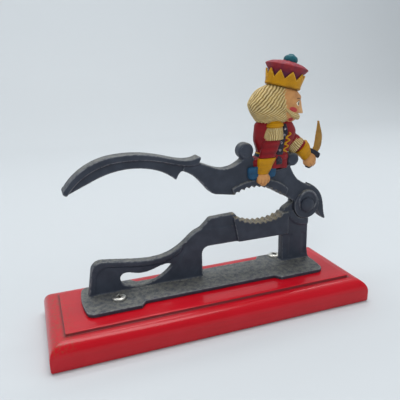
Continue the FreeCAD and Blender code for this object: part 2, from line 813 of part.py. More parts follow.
def crown():
    """A flared band with pointed teeth, open at the top."""
    def ring(z, grow):
        share = z / crown_height
        reach = crown_bottom + (crown_top - crown_bottom) * share - grow
        return oval(z, crown_x, reach, reach * crown_depth_share, 2.2, 3 * crown_points)
    band = flat_sided([ring(0.0, 0.0), ring(crown_height, 0.0)])
    inner = flat_sided([ring(0.0, crown_wall), ring(crown_height, crown_wall)])
    band = band.cut(inner)
    low = crown_height - crown_notch
    for i in range(crown_points):
        angle = 360.0 * (i + 0.5) / crown_points
        half = crown_top * math.pi / crown_points
        notch = prism([(-half, crown_height + 0.1), (0.0, low), (half, crown_height + 0.1)], 0.0,
                      -2 * crown_top)
        notch.rotate(FreeCAD.Vector(0, 0, 0), FreeCAD.Vector(0, 0, 1), angle)
        notch.translate(FreeCAD.Vector(crown_x, 0, 0))
        band = band.cut(notch)
    return on_head(band)


def cap():
    """Soft cap: a plug inside the crown and a flat cushion that swells over its points."""
    share = crown_depth_share
    inside = crown_top - crown_wall
    low = crown_bottom - crown_wall
    plug = form([(0.6, crown_x, low, low * share), (crown_height, crown_x, inside, inside * share)], 2.2,
                0.0, 3 * crown_points)
    swell = [(crown_height - 0.6, 0.82), (cap_rise - 6.4, 0.95), (cap_rise - 4.2, 1.0),
             (cap_rise - 1.4, 0.82), (cap_rise, 0.5)]
    top = form([(z, crown_x, cap_reach * width, cap_reach * width * cap_depth_share)
                for z, width in swell], 2.2, 0.0, body_sides)
    return on_head(join(plug, top))


def pompon():
    bottom = cap_rise - 1.2
    profile = [(0.0, 0.8), (0.35, 1.0), (0.75, 0.8), (1.0, 0.35)]
    return on_head(form([(bottom + pompon_height * up, pompon_x, pompon_radius * wide, pompon_radius * wide)
                         for up, wide in profile], 2.0))


def trousers():
    """A leg on each side of the lever."""
    legs = [on_seat(form([(4.0, -11.6, 12.4, leg_half), (0.0, -11.8, 12.8, leg_half),
                          (-5.6, -12.0, 12.0, leg_half), (-8.0, -12.0, 9.0, 1.8)], 3.0), side * leg_offset)
            for side in (-1, 1)]
    return Part.makeCompound(legs)


def right_hand():
    return on_seat(form([(-1.6, -12.0, 4.4, 3.2), (-5.0, -11.8, 5.8, 3.8), (-9.4, -11.8, 5.4, 3.6),
                         (-12.6, -11.6, 2.6, 2.0)]), -sleeve_offset)


def right_cuff():
    return on_seat(form([(11.0, -8.4, 7.8, 4.6), (4.0, -10.2, 6.4, 4.2), (-2.6, -12.0, 4.9, 3.8)]),
                   -sleeve_offset)


def left_cuff():
    return on_far_arm(form([(-17.0, 1.2, 7.3, 5.6), (-23.0, 0.8, 6.4, 5.2), (-28.6, -0.8, 4.8, 4.4)]))


def left_hand():
    return on_far_arm(form([(-27.6, -0.6, 4.6, 4.0), (-31.6, -1.6, 6.0, 4.8), (-36.0, -1.8, 5.4, 4.4),
                            (-39.4, -1.6, 3.0, 2.4)]))


def sword_plate(edges, half):
    plate = Part.Face(Part.Wire(edges)).extrude(FreeCAD.Vector(0, 2 * half, 0))
    plate.translate(FreeCAD.Vector(0, -half, 0))
    return on_seat(plate, far_arm_offset)


def sword_blade():
    right = [(44.6, 7.0), (48.6, 12.0), (49.8, 22.3), (45.6, 35.4)]
    left = [(45.6, 35.4), (43.4, 24.0), (41.6, 13.0), (37.4, 9.4)]
    return sword_plate([curve(right), curve(left), line(left[-1], right[0])], sword_thickness / 2)


def sword_hilt():
    """Cross guard, grip through the fist and pommel below it."""
    guard = sword_plate(lines([(35.4, 9.6), (37.2, 12.2), (46.8, 6.8), (45.4, 3.2), (35.4, 9.6)]), 3.0)
    pommel = placed(form([(-3.4, 0.0, 2.2, 2.2), (-0.6, 0.0, 3.4, 3.2), (2.6, 0.0, 2.6, 2.6)]), 37.6,
                    far_arm_offset, -1.6, 24.0)
    return Part.makeCompound([guard, pommel])


def king_pieces():
    """Every piece with the earlier ones it gives way to, so that painted forms meet face to face."""
    return {
        "king_coat": (coat(), ["lever_casting"]),
        "king_trousers": (trousers(), ["lever_casting", "king_coat"]),
        "king_right_sleeve": (right_sleeve(), ["king_coat"]),
        "king_right_cuff": (right_cuff(), ["lever_casting", "king_coat", "king_right_sleeve", "king_trousers"]),
        "king_right_hand": (right_hand(), ["lever_casting", "king_trousers", "king_right_cuff"]),
        "king_left_sleeve": (left_sleeve(), ["lever_casting", "king_coat"]),
        "king_left_cuff": (left_cuff(), ["lever_casting", "king_left_sleeve"]),
        "king_left_hand": (left_hand(), ["king_left_cuff"]),
        "king_epaulette_fringes": (fringes(), ["lever_casting", "king_coat", "king_right_sleeve",
                                               "king_left_sleeve", "king_left_cuff"]),
        "king_epaulettes": (epaulettes(), ["king_coat", "king_right_sleeve", "king_left_sleeve",
                                           "king_epaulette_fringes"]),
        "king_head": (head(), ["king_coat", "king_epaulettes"]),
        "king_hair": (hair(), ["king_coat", "king_head", "king_right_sleeve", "king_epaulettes"]),
        "king_moustache": (moustache(), ["king_head", "king_hair"]),
        "king_crown": (crown(), ["king_head", "king_hair"]),
        "king_cap": (cap(), ["king_crown", "king_head", "king_hair"]),
        "king_pompon": (pompon(), ["king_cap"]),
        "king_belt": (belt(), ["lever_casting", "king_coat", "king_right_sleeve", "king_right_cuff"]),
        "king_placket": (placket(), ["king_coat", "king_right_sleeve", "king_epaulette_fringes",
                                     "king_epaulettes", "king_head", "king_hair"]),
        "king_buttons": (buttons(), ["king_coat", "king_placket", "king_right_sleeve",
                                     "king_epaulette_fringes"]),
        "king_frogging": (frogging(), ["king_coat", "king_buttons", "king_belt"]),
        "sword_hilt": (sword_hilt(), ["king_left_hand", "king_left_cuff"]),
        "sword_blade": (sword_blade(), ["sword_hilt", "king_left_hand", "king_left_cuff"]),
    }


def fitted(pieces, lever):
    """Cuts every piece by the ones it gives way to, and drops crumbs."""
    done = {"lever_casting": lever}
    for name, (shape, others) in pieces.items():
        solids = []
        for solid in shape.Solids:
            solids += solid.cut([done[other] for other in others]).Solids
        largest = max(s.Volume for s in solids)
        kept = [s for s in solids if s.Volume > crumb_share * largest]
        done[name] = kept[0] if len(kept) == 1 else Part.makeCompound(kept)
    return done


def main():
    os.makedirs("parts", exist_ok=True)
    nodes = {}
    nodes["base_board"] = base_board()
    nodes["lower_casting"] = lower_casting()
    nodes["pivot_rivet"] = pivot_rivet()
    nodes["wood_screws"] = Part.makeCompound([screw(place) for place in screw_places()])
    nodes.update(fitted(king_pieces(), lever_casting()))
    for name, shape in nodes.items():
        shape.exportStep("parts/" + name + ".step")
        print(name, len(shape.Solids), "solids", round(shape.Volume), "mm3", shape.isValid())


main()
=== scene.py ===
import math

import bmesh
import bpy
import numpy as np
from bpy.props import FloatProperty, IntProperty, PointerProperty, StringProperty
from mathutils import Matrix, Vector


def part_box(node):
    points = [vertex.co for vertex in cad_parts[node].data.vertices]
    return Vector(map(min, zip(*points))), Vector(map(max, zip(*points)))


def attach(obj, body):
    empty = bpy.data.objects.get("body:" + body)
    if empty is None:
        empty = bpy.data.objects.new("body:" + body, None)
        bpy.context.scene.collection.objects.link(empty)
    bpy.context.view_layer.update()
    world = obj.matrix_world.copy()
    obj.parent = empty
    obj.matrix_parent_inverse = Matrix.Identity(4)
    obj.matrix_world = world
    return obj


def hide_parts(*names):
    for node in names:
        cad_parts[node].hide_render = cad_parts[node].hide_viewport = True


bl_info = {
    "name": "Lever nutcracker press",
    "version": (1, 0, 0),
    "blender": (4, 5, 0),
    "location": "3D View > Sidebar > Nutcracker",
    "description": "Dresses a packed lever nutcracker press with its cast, painted and turned surfaces",
    "category": "Object",
}

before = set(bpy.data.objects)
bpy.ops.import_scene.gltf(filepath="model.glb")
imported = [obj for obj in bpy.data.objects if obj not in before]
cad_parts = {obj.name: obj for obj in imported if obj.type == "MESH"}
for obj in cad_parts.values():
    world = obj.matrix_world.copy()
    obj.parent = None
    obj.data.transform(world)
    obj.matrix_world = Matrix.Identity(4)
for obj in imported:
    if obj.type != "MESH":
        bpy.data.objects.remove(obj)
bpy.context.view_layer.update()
MM = 0.001

# The photograph's camera, solved from the board's corners; places and lengths in millimetres
CAMERA_PLACE = (-118.24, -328.84, 198.13)
CAMERA_AZIMUTH = -19.35
CAMERA_ELEVATION = 16.78
CAMERA_ROLL = -1.92
FOCAL_PIXELS = 469.8
PICTURE_PIXELS = 400
SENSOR_WIDTH = 36.0

# Floor: half its width, and its sweep from front to back and up the backdrop as (away, up), both in mm
FLOOR_HALF = 3000
FLOOR_SWEEP = [(-3000, 0), (-900, 0), (300, 0), (900, 10), (1350, 240), (1500, 900), (1500, 1800)]

# Strength of the room's light all round and high up in front, and the share of it seen at the skyline
ROOM_LIGHT, FRONT_LIGHT, SKYLINE_SHARE = 0.96, 0.27, 0.6

# Soft lamps: name, place, aim and size in metres, power in watts; a fill lamp shows in no reflection
LAMPS = [("fill_front", (-0.55, -1.1, 1.0), (0.0, 0.0, 0.08), (0.9, 0.6), 7.5),
         ("softbox_above", (0.1, 0.1, 1.6), (0.0, 0.0, 0.08), (1.0, 0.5), 7.0),
         ("strip_behind", (0.0, 0.75, 1.35), (0.0, 0.0, 0.08), (2.2, 0.16), 6.0),
         ("fill_right", (1.2, -0.5, 0.7), (0.0, 0.0, 0.08), (0.6, 0.9), 3.0),
         ("fill_backdrop", (0.0, 0.3, 2.2), (0.0, 1.5, 1.2), (2.4, 0.4), 24.0)]

# The hinge, the middle of the upper jaw's arc from it (along, up), the king's seat above the saddle, and
# the frames that his forms are drawn in: origin and forward lean in degrees
PIVOT = np.array([96.65, 11.5, 74.2])
UPPER_JAW_MIDDLE = (-50.4, -13.2)
SEAT = PIVOT + (-31.3, 0.0, 34.9)
BODY_FRAME = (SEAT, 0.0)
HEAD_FRAME = (SEAT + (6.5, 0.0, 65.4), 14.0)
NEAR_ARM_FRAME = (SEAT + (0.0, -7.6, 0.0), 0.0)
FAR_ARM_FRAME = (SEAT + (15.5, 3.0, 26.0), -46.0)
SWORD_FRAME = (SEAT + (0.0, 3.0, 0.0), 0.0)
GRIP_FRAME = (SEAT + (37.6, 3.0, -1.6), 24.0)

# In the head's frame: the near eye's middle (along, aside, up) and the way from its inner to its outer
# corner (aside, along), then the middles of blush and mouth (along, up)
EYE = (15.6, 8.05, -10.0)
EYE_WAY = (0.557, 0.830)
BLUSH = (11.2, -15.4)
MOUTH = (12.4, -23.4)

# Crown band: number of teeth, their height, the height of their tips and the wall
CROWN_TEETH = 10
TOOTH_RISE = 6.2
CROWN_HEIGHT = 12.0
CROWN_WALL = 1.7

# Pitches of the carved strands and the finger furrows, and the size of the paint's duller patches
STRAND_PITCH = 2.1
FINGER_PITCH = 3.0
SHINE_PATCH = 9.0

# Board: turn of its upright corners, width of its tuck and the half width of the painted shade line at the panel's
# step
CORNER_TURN = 1.2
BOARD_TUCK = 1.5
STEP_SHADE_WIDTH = 1.1

# Rivet and screws, where the CAD box doesn't give the size: head radius and height, shank radius and length
RIVET_SHANK = 3.2
RIVET_TAIL = 5.0
SCREW_HEAD = (5.3, 2.3)
SCREW_SHANK = (2.0, 15.0)
RECESS_DEPTH = 1.2


# Helpers: meshes
def smooth_step(value, low, high):
    """Cubic ramp from 0 at low to 1 at high."""
    t = np.clip((value - low) / (high - low), 0.0, 1.0)
    return t * t * (3.0 - 2.0 * t)


def squared(u, power):
    """Cosine and sine of a turn, each raised to 2 / power with its sign kept, so that an oval squares up."""
    return [np.sign(f(u)) * np.abs(f(u)) ** (2 / power) for f in (np.cos, np.sin)]


def grid_faces(rows, columns, wrap_rows=False, wrap_columns=True):
    """Quads between neighbouring points of a grid, row by row."""
    r = np.arange(rows if wrap_rows else rows - 1)
    c = np.arange(columns if wrap_columns else columns - 1)
    r, c = np.meshgrid(r, c, indexing="ij")
    up = (r + 1) % rows
    on = (c + 1) % columns
    return np.stack([r * columns + c, r * columns + on, up * columns + on, up * columns + c], -1).reshape(-1, 4)


def add_layers(mesh, layers):
    """Shades a mesh smooth and stores each layer's values as a float attribute of its points."""
    mesh.polygons.foreach_set("use_smooth", np.ones(len(mesh.polygons), bool))
    for layer, values in layers.items():
        attribute = mesh.attributes.new(layer, "FLOAT", "POINT")
        attribute.data.foreach_set("value", np.asarray(values, np.float32).ravel())


def new_piece(name, points, faces, layers=None):
    """Makes a mesh object from points in millimetres, its normals outward, with its layers."""
    mesh = bpy.data.meshes.new(name)
    mesh.from_pydata((points * MM).tolist(), [], [corners for f in faces for corners in f.tolist()])
    add_layers(mesh, layers or {})
    outward = bmesh.new()
    outward.from_mesh(mesh)
    bmesh.ops.recalc_face_normals(outward, faces=outward.faces)
    outward.to_mesh(mesh)
    outward.free()
    piece = bpy.data.objects.new(name, mesh)
    bpy.context.scene.collection.objects.link(piece)
    return piece


def closed_grid(points, layers=None):
    """Closes a wrapped grid with a point at each end; returns points, face lists and layers."""
    rows, columns = points.shape[:2]
    ends = np.stack([points[0].mean(0), points[-1].mean(0)])
    flat = np.concatenate([points.reshape(-1, 3), ends])
    first = rows * columns
    c = np.arange(columns)
    on = (c + 1) % columns
    low = np.stack([np.full(columns, first), on, c], -1)
    high = np.stack([np.full(columns, first + 1), (rows - 1) * columns + c, (rows - 1) * columns + on], -1)
    more = {}
    for name, values in (layers or {}).items():
        more[name] = np.concatenate([values.ravel(), [values[0].mean(), values[-1].mean()]])
    return flat, [grid_faces(rows, columns), low, high], more


def merge(parts):
    """Joins several (points, faces, layers) sets into one."""
    points, faces, layers, start = [], [], {}, 0
    names = sorted({n for part in parts for n in part[2]})
    for part_points, part_faces, part_layers in parts:
        points.append(part_points)
        faces += [f + start for f in part_faces]
        for n in names:
            layers.setdefault(n, []).append(np.asarray(part_layers.get(n, np.zeros(len(part_points)))).ravel())
        start += len(part_points)
    return np.concatenate(points), faces, {n: np.concatenate(v) for n, v in layers.items()}


def along(keys, t):
    """Smooth curve through key rows: Catmull-Rom between rows spaced evenly over 0 to 1."""
    keys = np.asarray(keys, float)
    count = len(keys) - 1
    padded = np.concatenate([2 * keys[:1] - keys[1:2], keys, 2 * keys[-1:] - keys[-2:-1]])
    s = np.clip(np.asarray(t, float) * count, 0, count)
    i = np.minimum(s.astype(int), count - 1)
    f = (s - i)[..., None]
    a, b, c, d = padded[i], padded[i + 1], padded[i + 2], padded[i + 3]
    return 0.5 * (2 * b + (c - a) * f + (2 * a - 5 * b + 4 * c - d) * f ** 2 + (3 * b - a - 3 * c + d) * f ** 3)


def oval_form(sections, power, rows, columns, cap):
    """Points of a body through ovals (height, centre, half length, half depth).

    A point at turn u and height v is (centre + reach * cos u, depth * sin u), with both raised to
    2 / power so that the oval squares up; both ends round off over the cap height.
    """
    level = along(sections, np.linspace(0.0, 1.0, rows))
    lead = 6
    bend = np.linspace(math.pi / 2, 0.0, lead, endpoint=False)
    shrink = np.cos(bend)
    first = np.repeat(level[:1], lead, 0)
    last = np.repeat(level[-1:], lead, 0)
    turn_in = np.sin(bend) * cap
    rise = 1.0 if level[-1, 0] > level[0, 0] else -1.0
    first[:, 0] -= turn_in * rise - cap * rise
    last[:, 0] += turn_in * rise - cap * rise
    inner = level.copy()
    low, high = level[0, 0] + cap * rise, level[-1, 0] - cap * rise
    inner[:, 0] = low + (level[:, 0] - level[0, 0]) * (high - low) / (level[-1, 0] - level[0, 0])
    first[:, 2:] *= shrink[:, None]
    last[:, 2:] *= shrink[:, None]
    level = np.concatenate([first, inner, last[::-1]])
    u = np.linspace(0.0, 2 * math.pi, columns, endpoint=False)
    x, y = squared(u, power)
    points = np.stack([level[:, 1:2] + level[:, 2:3] * x, level[:, 3:4] * y,
                       np.repeat(level[:, :1], columns, 1)], -1)
    return points if rise > 0 else points[::-1]


def grid_normals(points):
    """Outward unit normals of a wrapped grid from its neighbours."""
    around = np.roll(points, -1, 1) - np.roll(points, 1, 1)
    up = np.gradient(points, axis=0)
    normal = np.cross(around, up)
    return normal / (np.linalg.norm(normal, axis=-1, keepdims=True) + 1e-9)


def lean(points, origin, degrees):
    """Leans points forward about Y and moves them to a frame's origin."""
    a = math.radians(degrees)
    x = points[..., 0] * math.cos(a) + points[..., 2] * math.sin(a)
    z = -points[..., 0] * math.sin(a) + points[..., 2] * math.cos(a)
    return np.stack([x + origin[0], points[..., 1] + origin[1], z + origin[2]], -1)


def bar(route, radius, columns, rows):
    """A round bar along a route: circles across the route's direction."""
    t = np.linspace(0.0, 1.0, rows)
    middle = along(route, t)
    ahead = np.gradient(middle, axis=0)
    ahead /= np.linalg.norm(ahead, axis=1, keepdims=True)
    side = np.cross(ahead, np.array([0.0, 0.0, 1.0]))
    side /= np.linalg.norm(side, axis=1, keepdims=True) + 1e-9
    up = np.cross(side, ahead)
    u = np.linspace(0.0, 2 * math.pi, columns, endpoint=False)
    points = (middle[:, None] + radius
              * (np.cos(u)[None, :, None] * side[:, None] + np.sin(u)[None, :, None] * up[:, None]))
    return points[:, ::-1]


def place_piece(piece, body, material, solid):
    """Gives a piece its finish, the body it moves with and the solid it stands for."""
    piece.data.materials.clear()
    piece.data.materials.append(material)
    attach(piece, body)
    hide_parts(solid)


def king_piece(name, slot, material, solid, *forms):
    """Makes one piece of the king from forms, each ((points, layers), frame), closed at both ends."""
    parts = [closed_grid(lean(points, *stand), layers) for (points, layers), stand in forms]
    place_piece(new_piece(name, *merge(parts)), "lever", material, solid)


# Helpers: materials
def colour(code):
    """sRGB hex to the linear colour that a shader takes."""
    parts = [int(code[i:i + 2], 16) / 255 for i in (1, 3, 5)]
    return tuple(p / 12.92 if p <= 0.04045 else ((p + 0.055) / 1.055) ** 2.4 for p in parts) + (1.0,)


def node(tree, kind, inputs=None, **settings):
    """Adds one shader node; an input is a plain value or another node's output socket."""
    made = tree.nodes.new(kind)
    for name, value in settings.items():
        setattr(made, name, value)
    for name, value in (inputs or {}).items():
        if isinstance(value, bpy.types.NodeSocket):
            tree.links.new(value, made.inputs[name])
        else:
            made.inputs[name].default_value = value
    return made


def painted(name, ground, layers, grains, rough, metallic=0.0, coat=0.0, gloss=0.5):
    """A ground colour under layers of paint, dirt and wear, with a grain that catches the light.

    A layer is (point attribute or None, cell size in mm or one per axis, noise level where it starts,
    level where it is full, strength, colour). A grain is (cell size in mm, depth in mm). The roughness
    wanders between the two values of rough in patches of SHINE_PATCH mm.
    """
    material = bpy.data.materials.new(name)
    material.use_nodes = True
    tree = material.node_tree
    shader = tree.nodes["Principled BSDF"]
    place = node(tree, "ShaderNodeTexCoord").outputs["Object"]
    fields = []
    for cell in [layer[1] for layer in layers] + [grain[0] for grain in grains] + [SHINE_PATCH]:
        cells = cell if isinstance(cell, tuple) else (cell, cell, cell)
        scaled = node(tree, "ShaderNodeMapping", {"Vector": place, "Scale": tuple(1 / (c * MM) for c in cells)})
        fields.append(node(tree, "ShaderNodeTexNoise", {"Vector": scaled.outputs["Vector"], "Scale": 1.0,
                                                        "Detail": 4.0, "Roughness": 0.6}).outputs["Fac"])
    paint = colour(ground)
    for (mask, _, low, high, strength, code), field in zip(layers, fields):
        share = node(tree, "ShaderNodeMapRange", {"Value": field, "From Min": low, "From Max": high,
                                                  "To Max": strength}, interpolation_type="SMOOTHSTEP")
        share = share.outputs["Result"]
        if mask:
            layer = node(tree, "ShaderNodeAttribute", attribute_name=mask).outputs["Fac"]
            share = node(tree, "ShaderNodeMath", {0: layer, 1: share}, operation="MULTIPLY",
                         use_clamp=True).outputs[0]
        paint = node(tree, "ShaderNodeMix", {0: share, 6: paint, 7: colour(code)}, data_type="RGBA").outputs[2]
    tree.links.new(paint, shader.inputs["Base Color"])
    shine = node(tree, "ShaderNodeMapRange", {"Value": fields[-1], "To Min": rough[0], "To Max": rough[1]})
    tree.links.new(shine.outputs["Result"], shader.inputs["Roughness"])
    for socket, value in (("Metallic", metallic), ("Coat Weight", coat), ("Coat Roughness", 0.1),
                          ("Specular IOR Level", gloss)):
        shader.inputs[socket].default_value = value
    under = {}
    for (_, depth), field in zip(grains, fields[len(layers):]):
        lumps = node(tree, "ShaderNodeBump", {"Height": field, "Distance": depth * MM, "Strength": 0.6, **under})
        under = {"Normal": lumps.outputs["Normal"]}
    tree.links.new(under["Normal"], shader.inputs["Normal"])
    return material


# Materials
def lacquered_board(ground):
    """Pine plank under gloss red enamel: a wet shine over a faint long grain, brown where rubbed, with painted
    shade at the foot of the panel's step.

    The wood's grain, about 1 mm in a planed pine plank, is drawn 2.4 mm wide so that it shows.
    """
    return painted("Gloss red enamel on pine", ground,
                   [(None, 32.0, 0.35, 0.7, 0.5, "#b8061e"),
                    (None, (60.0, 2.4, 2.4), 0.5, 0.8, 0.35, "#8f0b1a"),
                    # painted shade: a dark red band along the foot of the panel's step
                    ("step_shade", 3.0, -0.2, 0.4, 0.85, "#55060e"),
                    ("rub", 1.8, 0.47, 0.6, 0.6, "#6e4a30")],
                   [((60.0, 2.4, 2.4), 0.05), (16.0, 0.1)], rough=(0.3, 0.42), coat=0.45, gloss=0.2)


def cast_iron_paint(ground):
    """Sand-cast iron under thin charcoal paint: sandy grain, grey dust on top, edges rubbed pale.

    Moulding sand's grain, about 0.3 mm, is drawn 0.9 mm wide so that it shows.
    """
    return painted("Charcoal paint on sand-cast iron", ground,
                   [(None, 15.0, 0.35, 0.7, 0.8, "#383e4a"),
                    ("top", 4.0, 0.25, 0.7, 0.9, "#6c6c66"),
                    ("top", 1.3, 0.56, 0.68, 0.55, "#86877c"),
                    ("edge", 2.4, 0.3, 0.6, 0.75, "#83868a"),
                    ("teeth", 1.8, 0.35, 0.6, 0.85, "#8d8064")],
                   [(14.0, 0.4), (0.9, 0.12)], rough=(0.4, 0.58), gloss=0.35)


def plated_screw():
    """Zinc-plated steel: a dulled bright metal, painted shade in the recess, and dirt in scratches drawn 1 mm wide.
    """
    return painted("Zinc plated steel", "#d2d0c8",
                   # painted shade: the cross recess is darkened all over
                   [(None, 1.1, 0.4, 0.7, 0.6, "#98958b"), ("groove", 3.0, -1.0, 0.0, 0.9, "#3a372f")],
                   [(1.0, 0.05)], rough=(0.3, 0.45), metallic=1.0)


def enamel(name, ground, wash_and_shade, wear_and_highlight, strokes=(), rough=(0.36, 0.5), wash_and_shade_share=0.9):
    """Hobby enamel brushed on cast metal: a dark wash and painted shade in the grooves, crests paled by wear and
    painted highlight.

    A stroke is (point attribute, colour): a shape painted over all else.
    """
    # the groove layer is wash and painted shade in the hollows, the crest layer wear and painted highlight on the
    # raised parts
    layers = [(None, 6.0, 0.4, 0.75, 0.45, wash_and_shade), ("crest", 1.5, 0.36, 0.6, 0.55, wear_and_highlight),
              ("groove", 2.0, 0.0, 0.35, wash_and_shade_share, wash_and_shade)]
    layers += [(mask, 3.0, -1.0, 0.0, 1.0, code) for mask, code in strokes]
    return painted(name, ground, layers, [(5.0, 0.12), (0.8, 0.06)], rough, gloss=0.25)


def coat_enamel(ground):
    """Deep red hobby enamel: painted shade nearly black in the folds, dusty pink on the hem and fold crests as wear
    and painted highlight.
    """
    return enamel("Deep red hobby enamel", ground, "#4f1016", "#b8353a")


def cap_enamel(ground):
    """Maroon hobby enamel, flat: chalky pink as a painted highlight on the cap's top, plum painted shade between
    the gathers and inside the crown's teeth.
    """
    return enamel("Flat maroon hobby enamel", ground, "#3c1434", "#a84e58", rough=(0.45, 0.6))


def ochre_enamel(ground):
    """Golden ochre hobby enamel standing in for gilding: brown painted shade in the seams, yellow on the rims as
    wear and painted highlight.
    """
    return enamel("Golden ochre hobby enamel", ground, "#6a4606", "#e0b24a")


def cream_enamel(ground):
    """Cream hobby enamel with an umber wash and painted shade in every carved furrow, drawing the strands, and
    painted highlights on their crests.
    """
    return enamel("Cream hobby enamel with umber wash", ground, "#4c3d1c", "#e9dab0", wash_and_shade_share=1.0)


def flesh_enamel(ground):
    """Flesh hobby enamel with the face painted on by hand: blush, eye, brow and mouth as thin strokes."""
    strokes = [("blush", "#ab3238"), ("mouth", "#a5262c"), ("white", "#e6dcc2"), ("iris", "#2c2420"),
               ("brow", "#5a3b1e")]
    return enamel("Flesh hobby enamel", ground, "#8a5b38", "#e6c79a", strokes)


def petrol_enamel(ground):
    """Petrol blue hobby enamel: a satin blue that greys on the raised folds as wear and painted highlight."""
    return enamel("Petrol blue hobby enamel", ground, "#16293a", "#4d7a92")


def teal_enamel():
    """Teal hobby enamel on the pompon's pitted ball, painted shade in the pits and a painted highlight on top."""
    return enamel("Teal hobby enamel", "#1f5c66", "#17333c", "#5c8f98", rough=(0.42, 0.55))


def belt_enamel():
    """Teal-black hobby enamel behind; in front the belt runs into the coat's red, with a gold hairline."""
    return enamel("Teal-black hobby enamel", "#16323e", "#0d1a22", "#3f5c66",
                  [("red", "#7e0f17"), ("gold", "#b88200")])


def blue_black_enamel():
    """Blue-black hobby enamel, half gloss, that greys along the edges."""
    return enamel("Blue-black hobby enamel", "#25242f", "#120f18", "#4b4a5c", rough=(0.3, 0.42))


def button_enamel():
    """Smoke-grey hobby enamel on the buttons, pale on the small domes' fronts as wear to bare metal and painted
    highlight.
    """
    return enamel("Smoke grey hobby enamel", "#383443", "#17141c", "#d8cfd0", rough=(0.3, 0.4))


def bronze_enamel():
    """Bronze hobby enamel: dull metal flake in varnish, brown where the brush left it thick."""
    return enamel("Bronze hobby enamel", "#9a7434", "#4e3a1c", "#c4a45c")


def backdrop_paper():
    """Rolled matt paper, pale grey-blue, which keeps a soft shadow under the board."""
    material = bpy.data.materials.new("Pale studio paper")
    material.use_nodes = True
    shader = material.node_tree.nodes["Principled BSDF"]
    shader.inputs["Base Color"].default_value = colour("#c3c8cb")
    shader.inputs["Roughness"].default_value = 0.9
    shader.inputs["Specular IOR Level"].default_value = 0.1
    return material


# The king's forms
def hair_skin(rows, columns):
    """Hair around the head, with carved strands.

    The strands run along lines where 0.79 * way round from the face + 0.62 * height stays the same,
    so they fall backwards on both sides; two slow sines make their widths uneven.
    """
    sections = [(0.6, 0.0, 11.4, 7.6), (-6.0, -4.2, 14.6, 10.4), (-14.0, -5.2, 17.2, 11.6),
                (-19.5, -5.4, 17.6, 11.6), (-25.5, -4.0, 15.6, 10.6), (-31.2, -4.0, 10.6, 7.0)]
    points = oval_form(sections, 2.4, rows, columns, 1.6)
    normal = grid_normals(points)
    x, y, z = points[..., 0], points[..., 1], points[..., 2]
    step = np.hypot(np.roll(x, -1, 1) - x, np.roll(y, -1, 1) - y)
    back = np.cumsum(step, 1) - step
    back = np.minimum(back, step.sum(1, keepdims=True) - back)
    across = 0.79 * back + 0.62 * z
    across = across + 0.4 * np.sin(z * 0.42 + back * 0.13) + 0.15 * np.sin(z * 1.1 - back * 0.3)
    phase = across / STRAND_PITCH
    ridge = np.abs(np.sin(math.pi * phase))
    broad = 0.5 + 0.5 * np.sin(phase * 1.9 + z * 0.3)
    relief = (ridge ** 0.7 - 0.6) * (0.55 + 0.35 * broad)
    groove = np.clip(1.0 - ridge * 1.35, 0, 1) * (0.7 + 0.3 * broad)
    # the groove layer darkens the furrows as wash and painted shade, the crest layer pales the strands' tops as
    # wear and painted highlight
    return points + normal * relief[..., None], {"groove": groove, "crest": smooth_step(ridge, 0.75, 1.0)}


def face_profile(z):
    """How far the middle line of the face stands out: brow, nose with its underside, lips, chin."""
    brow = 0.9 * np.exp(-((z + 4.2) / 2.0) ** 2)
    ridge = np.clip((-3.0 - z) / 12.6, 0, 1) ** 0.85 * smooth_step(z, -18.0, -16.4) * 6.0
    lip = 0.7 * np.exp(-((z + 22.4) / 1.4) ** 2)
    chin = 1.0 * np.exp(-((z + 26.0) / 1.8) ** 2)
    return brow, ridge, lip + chin


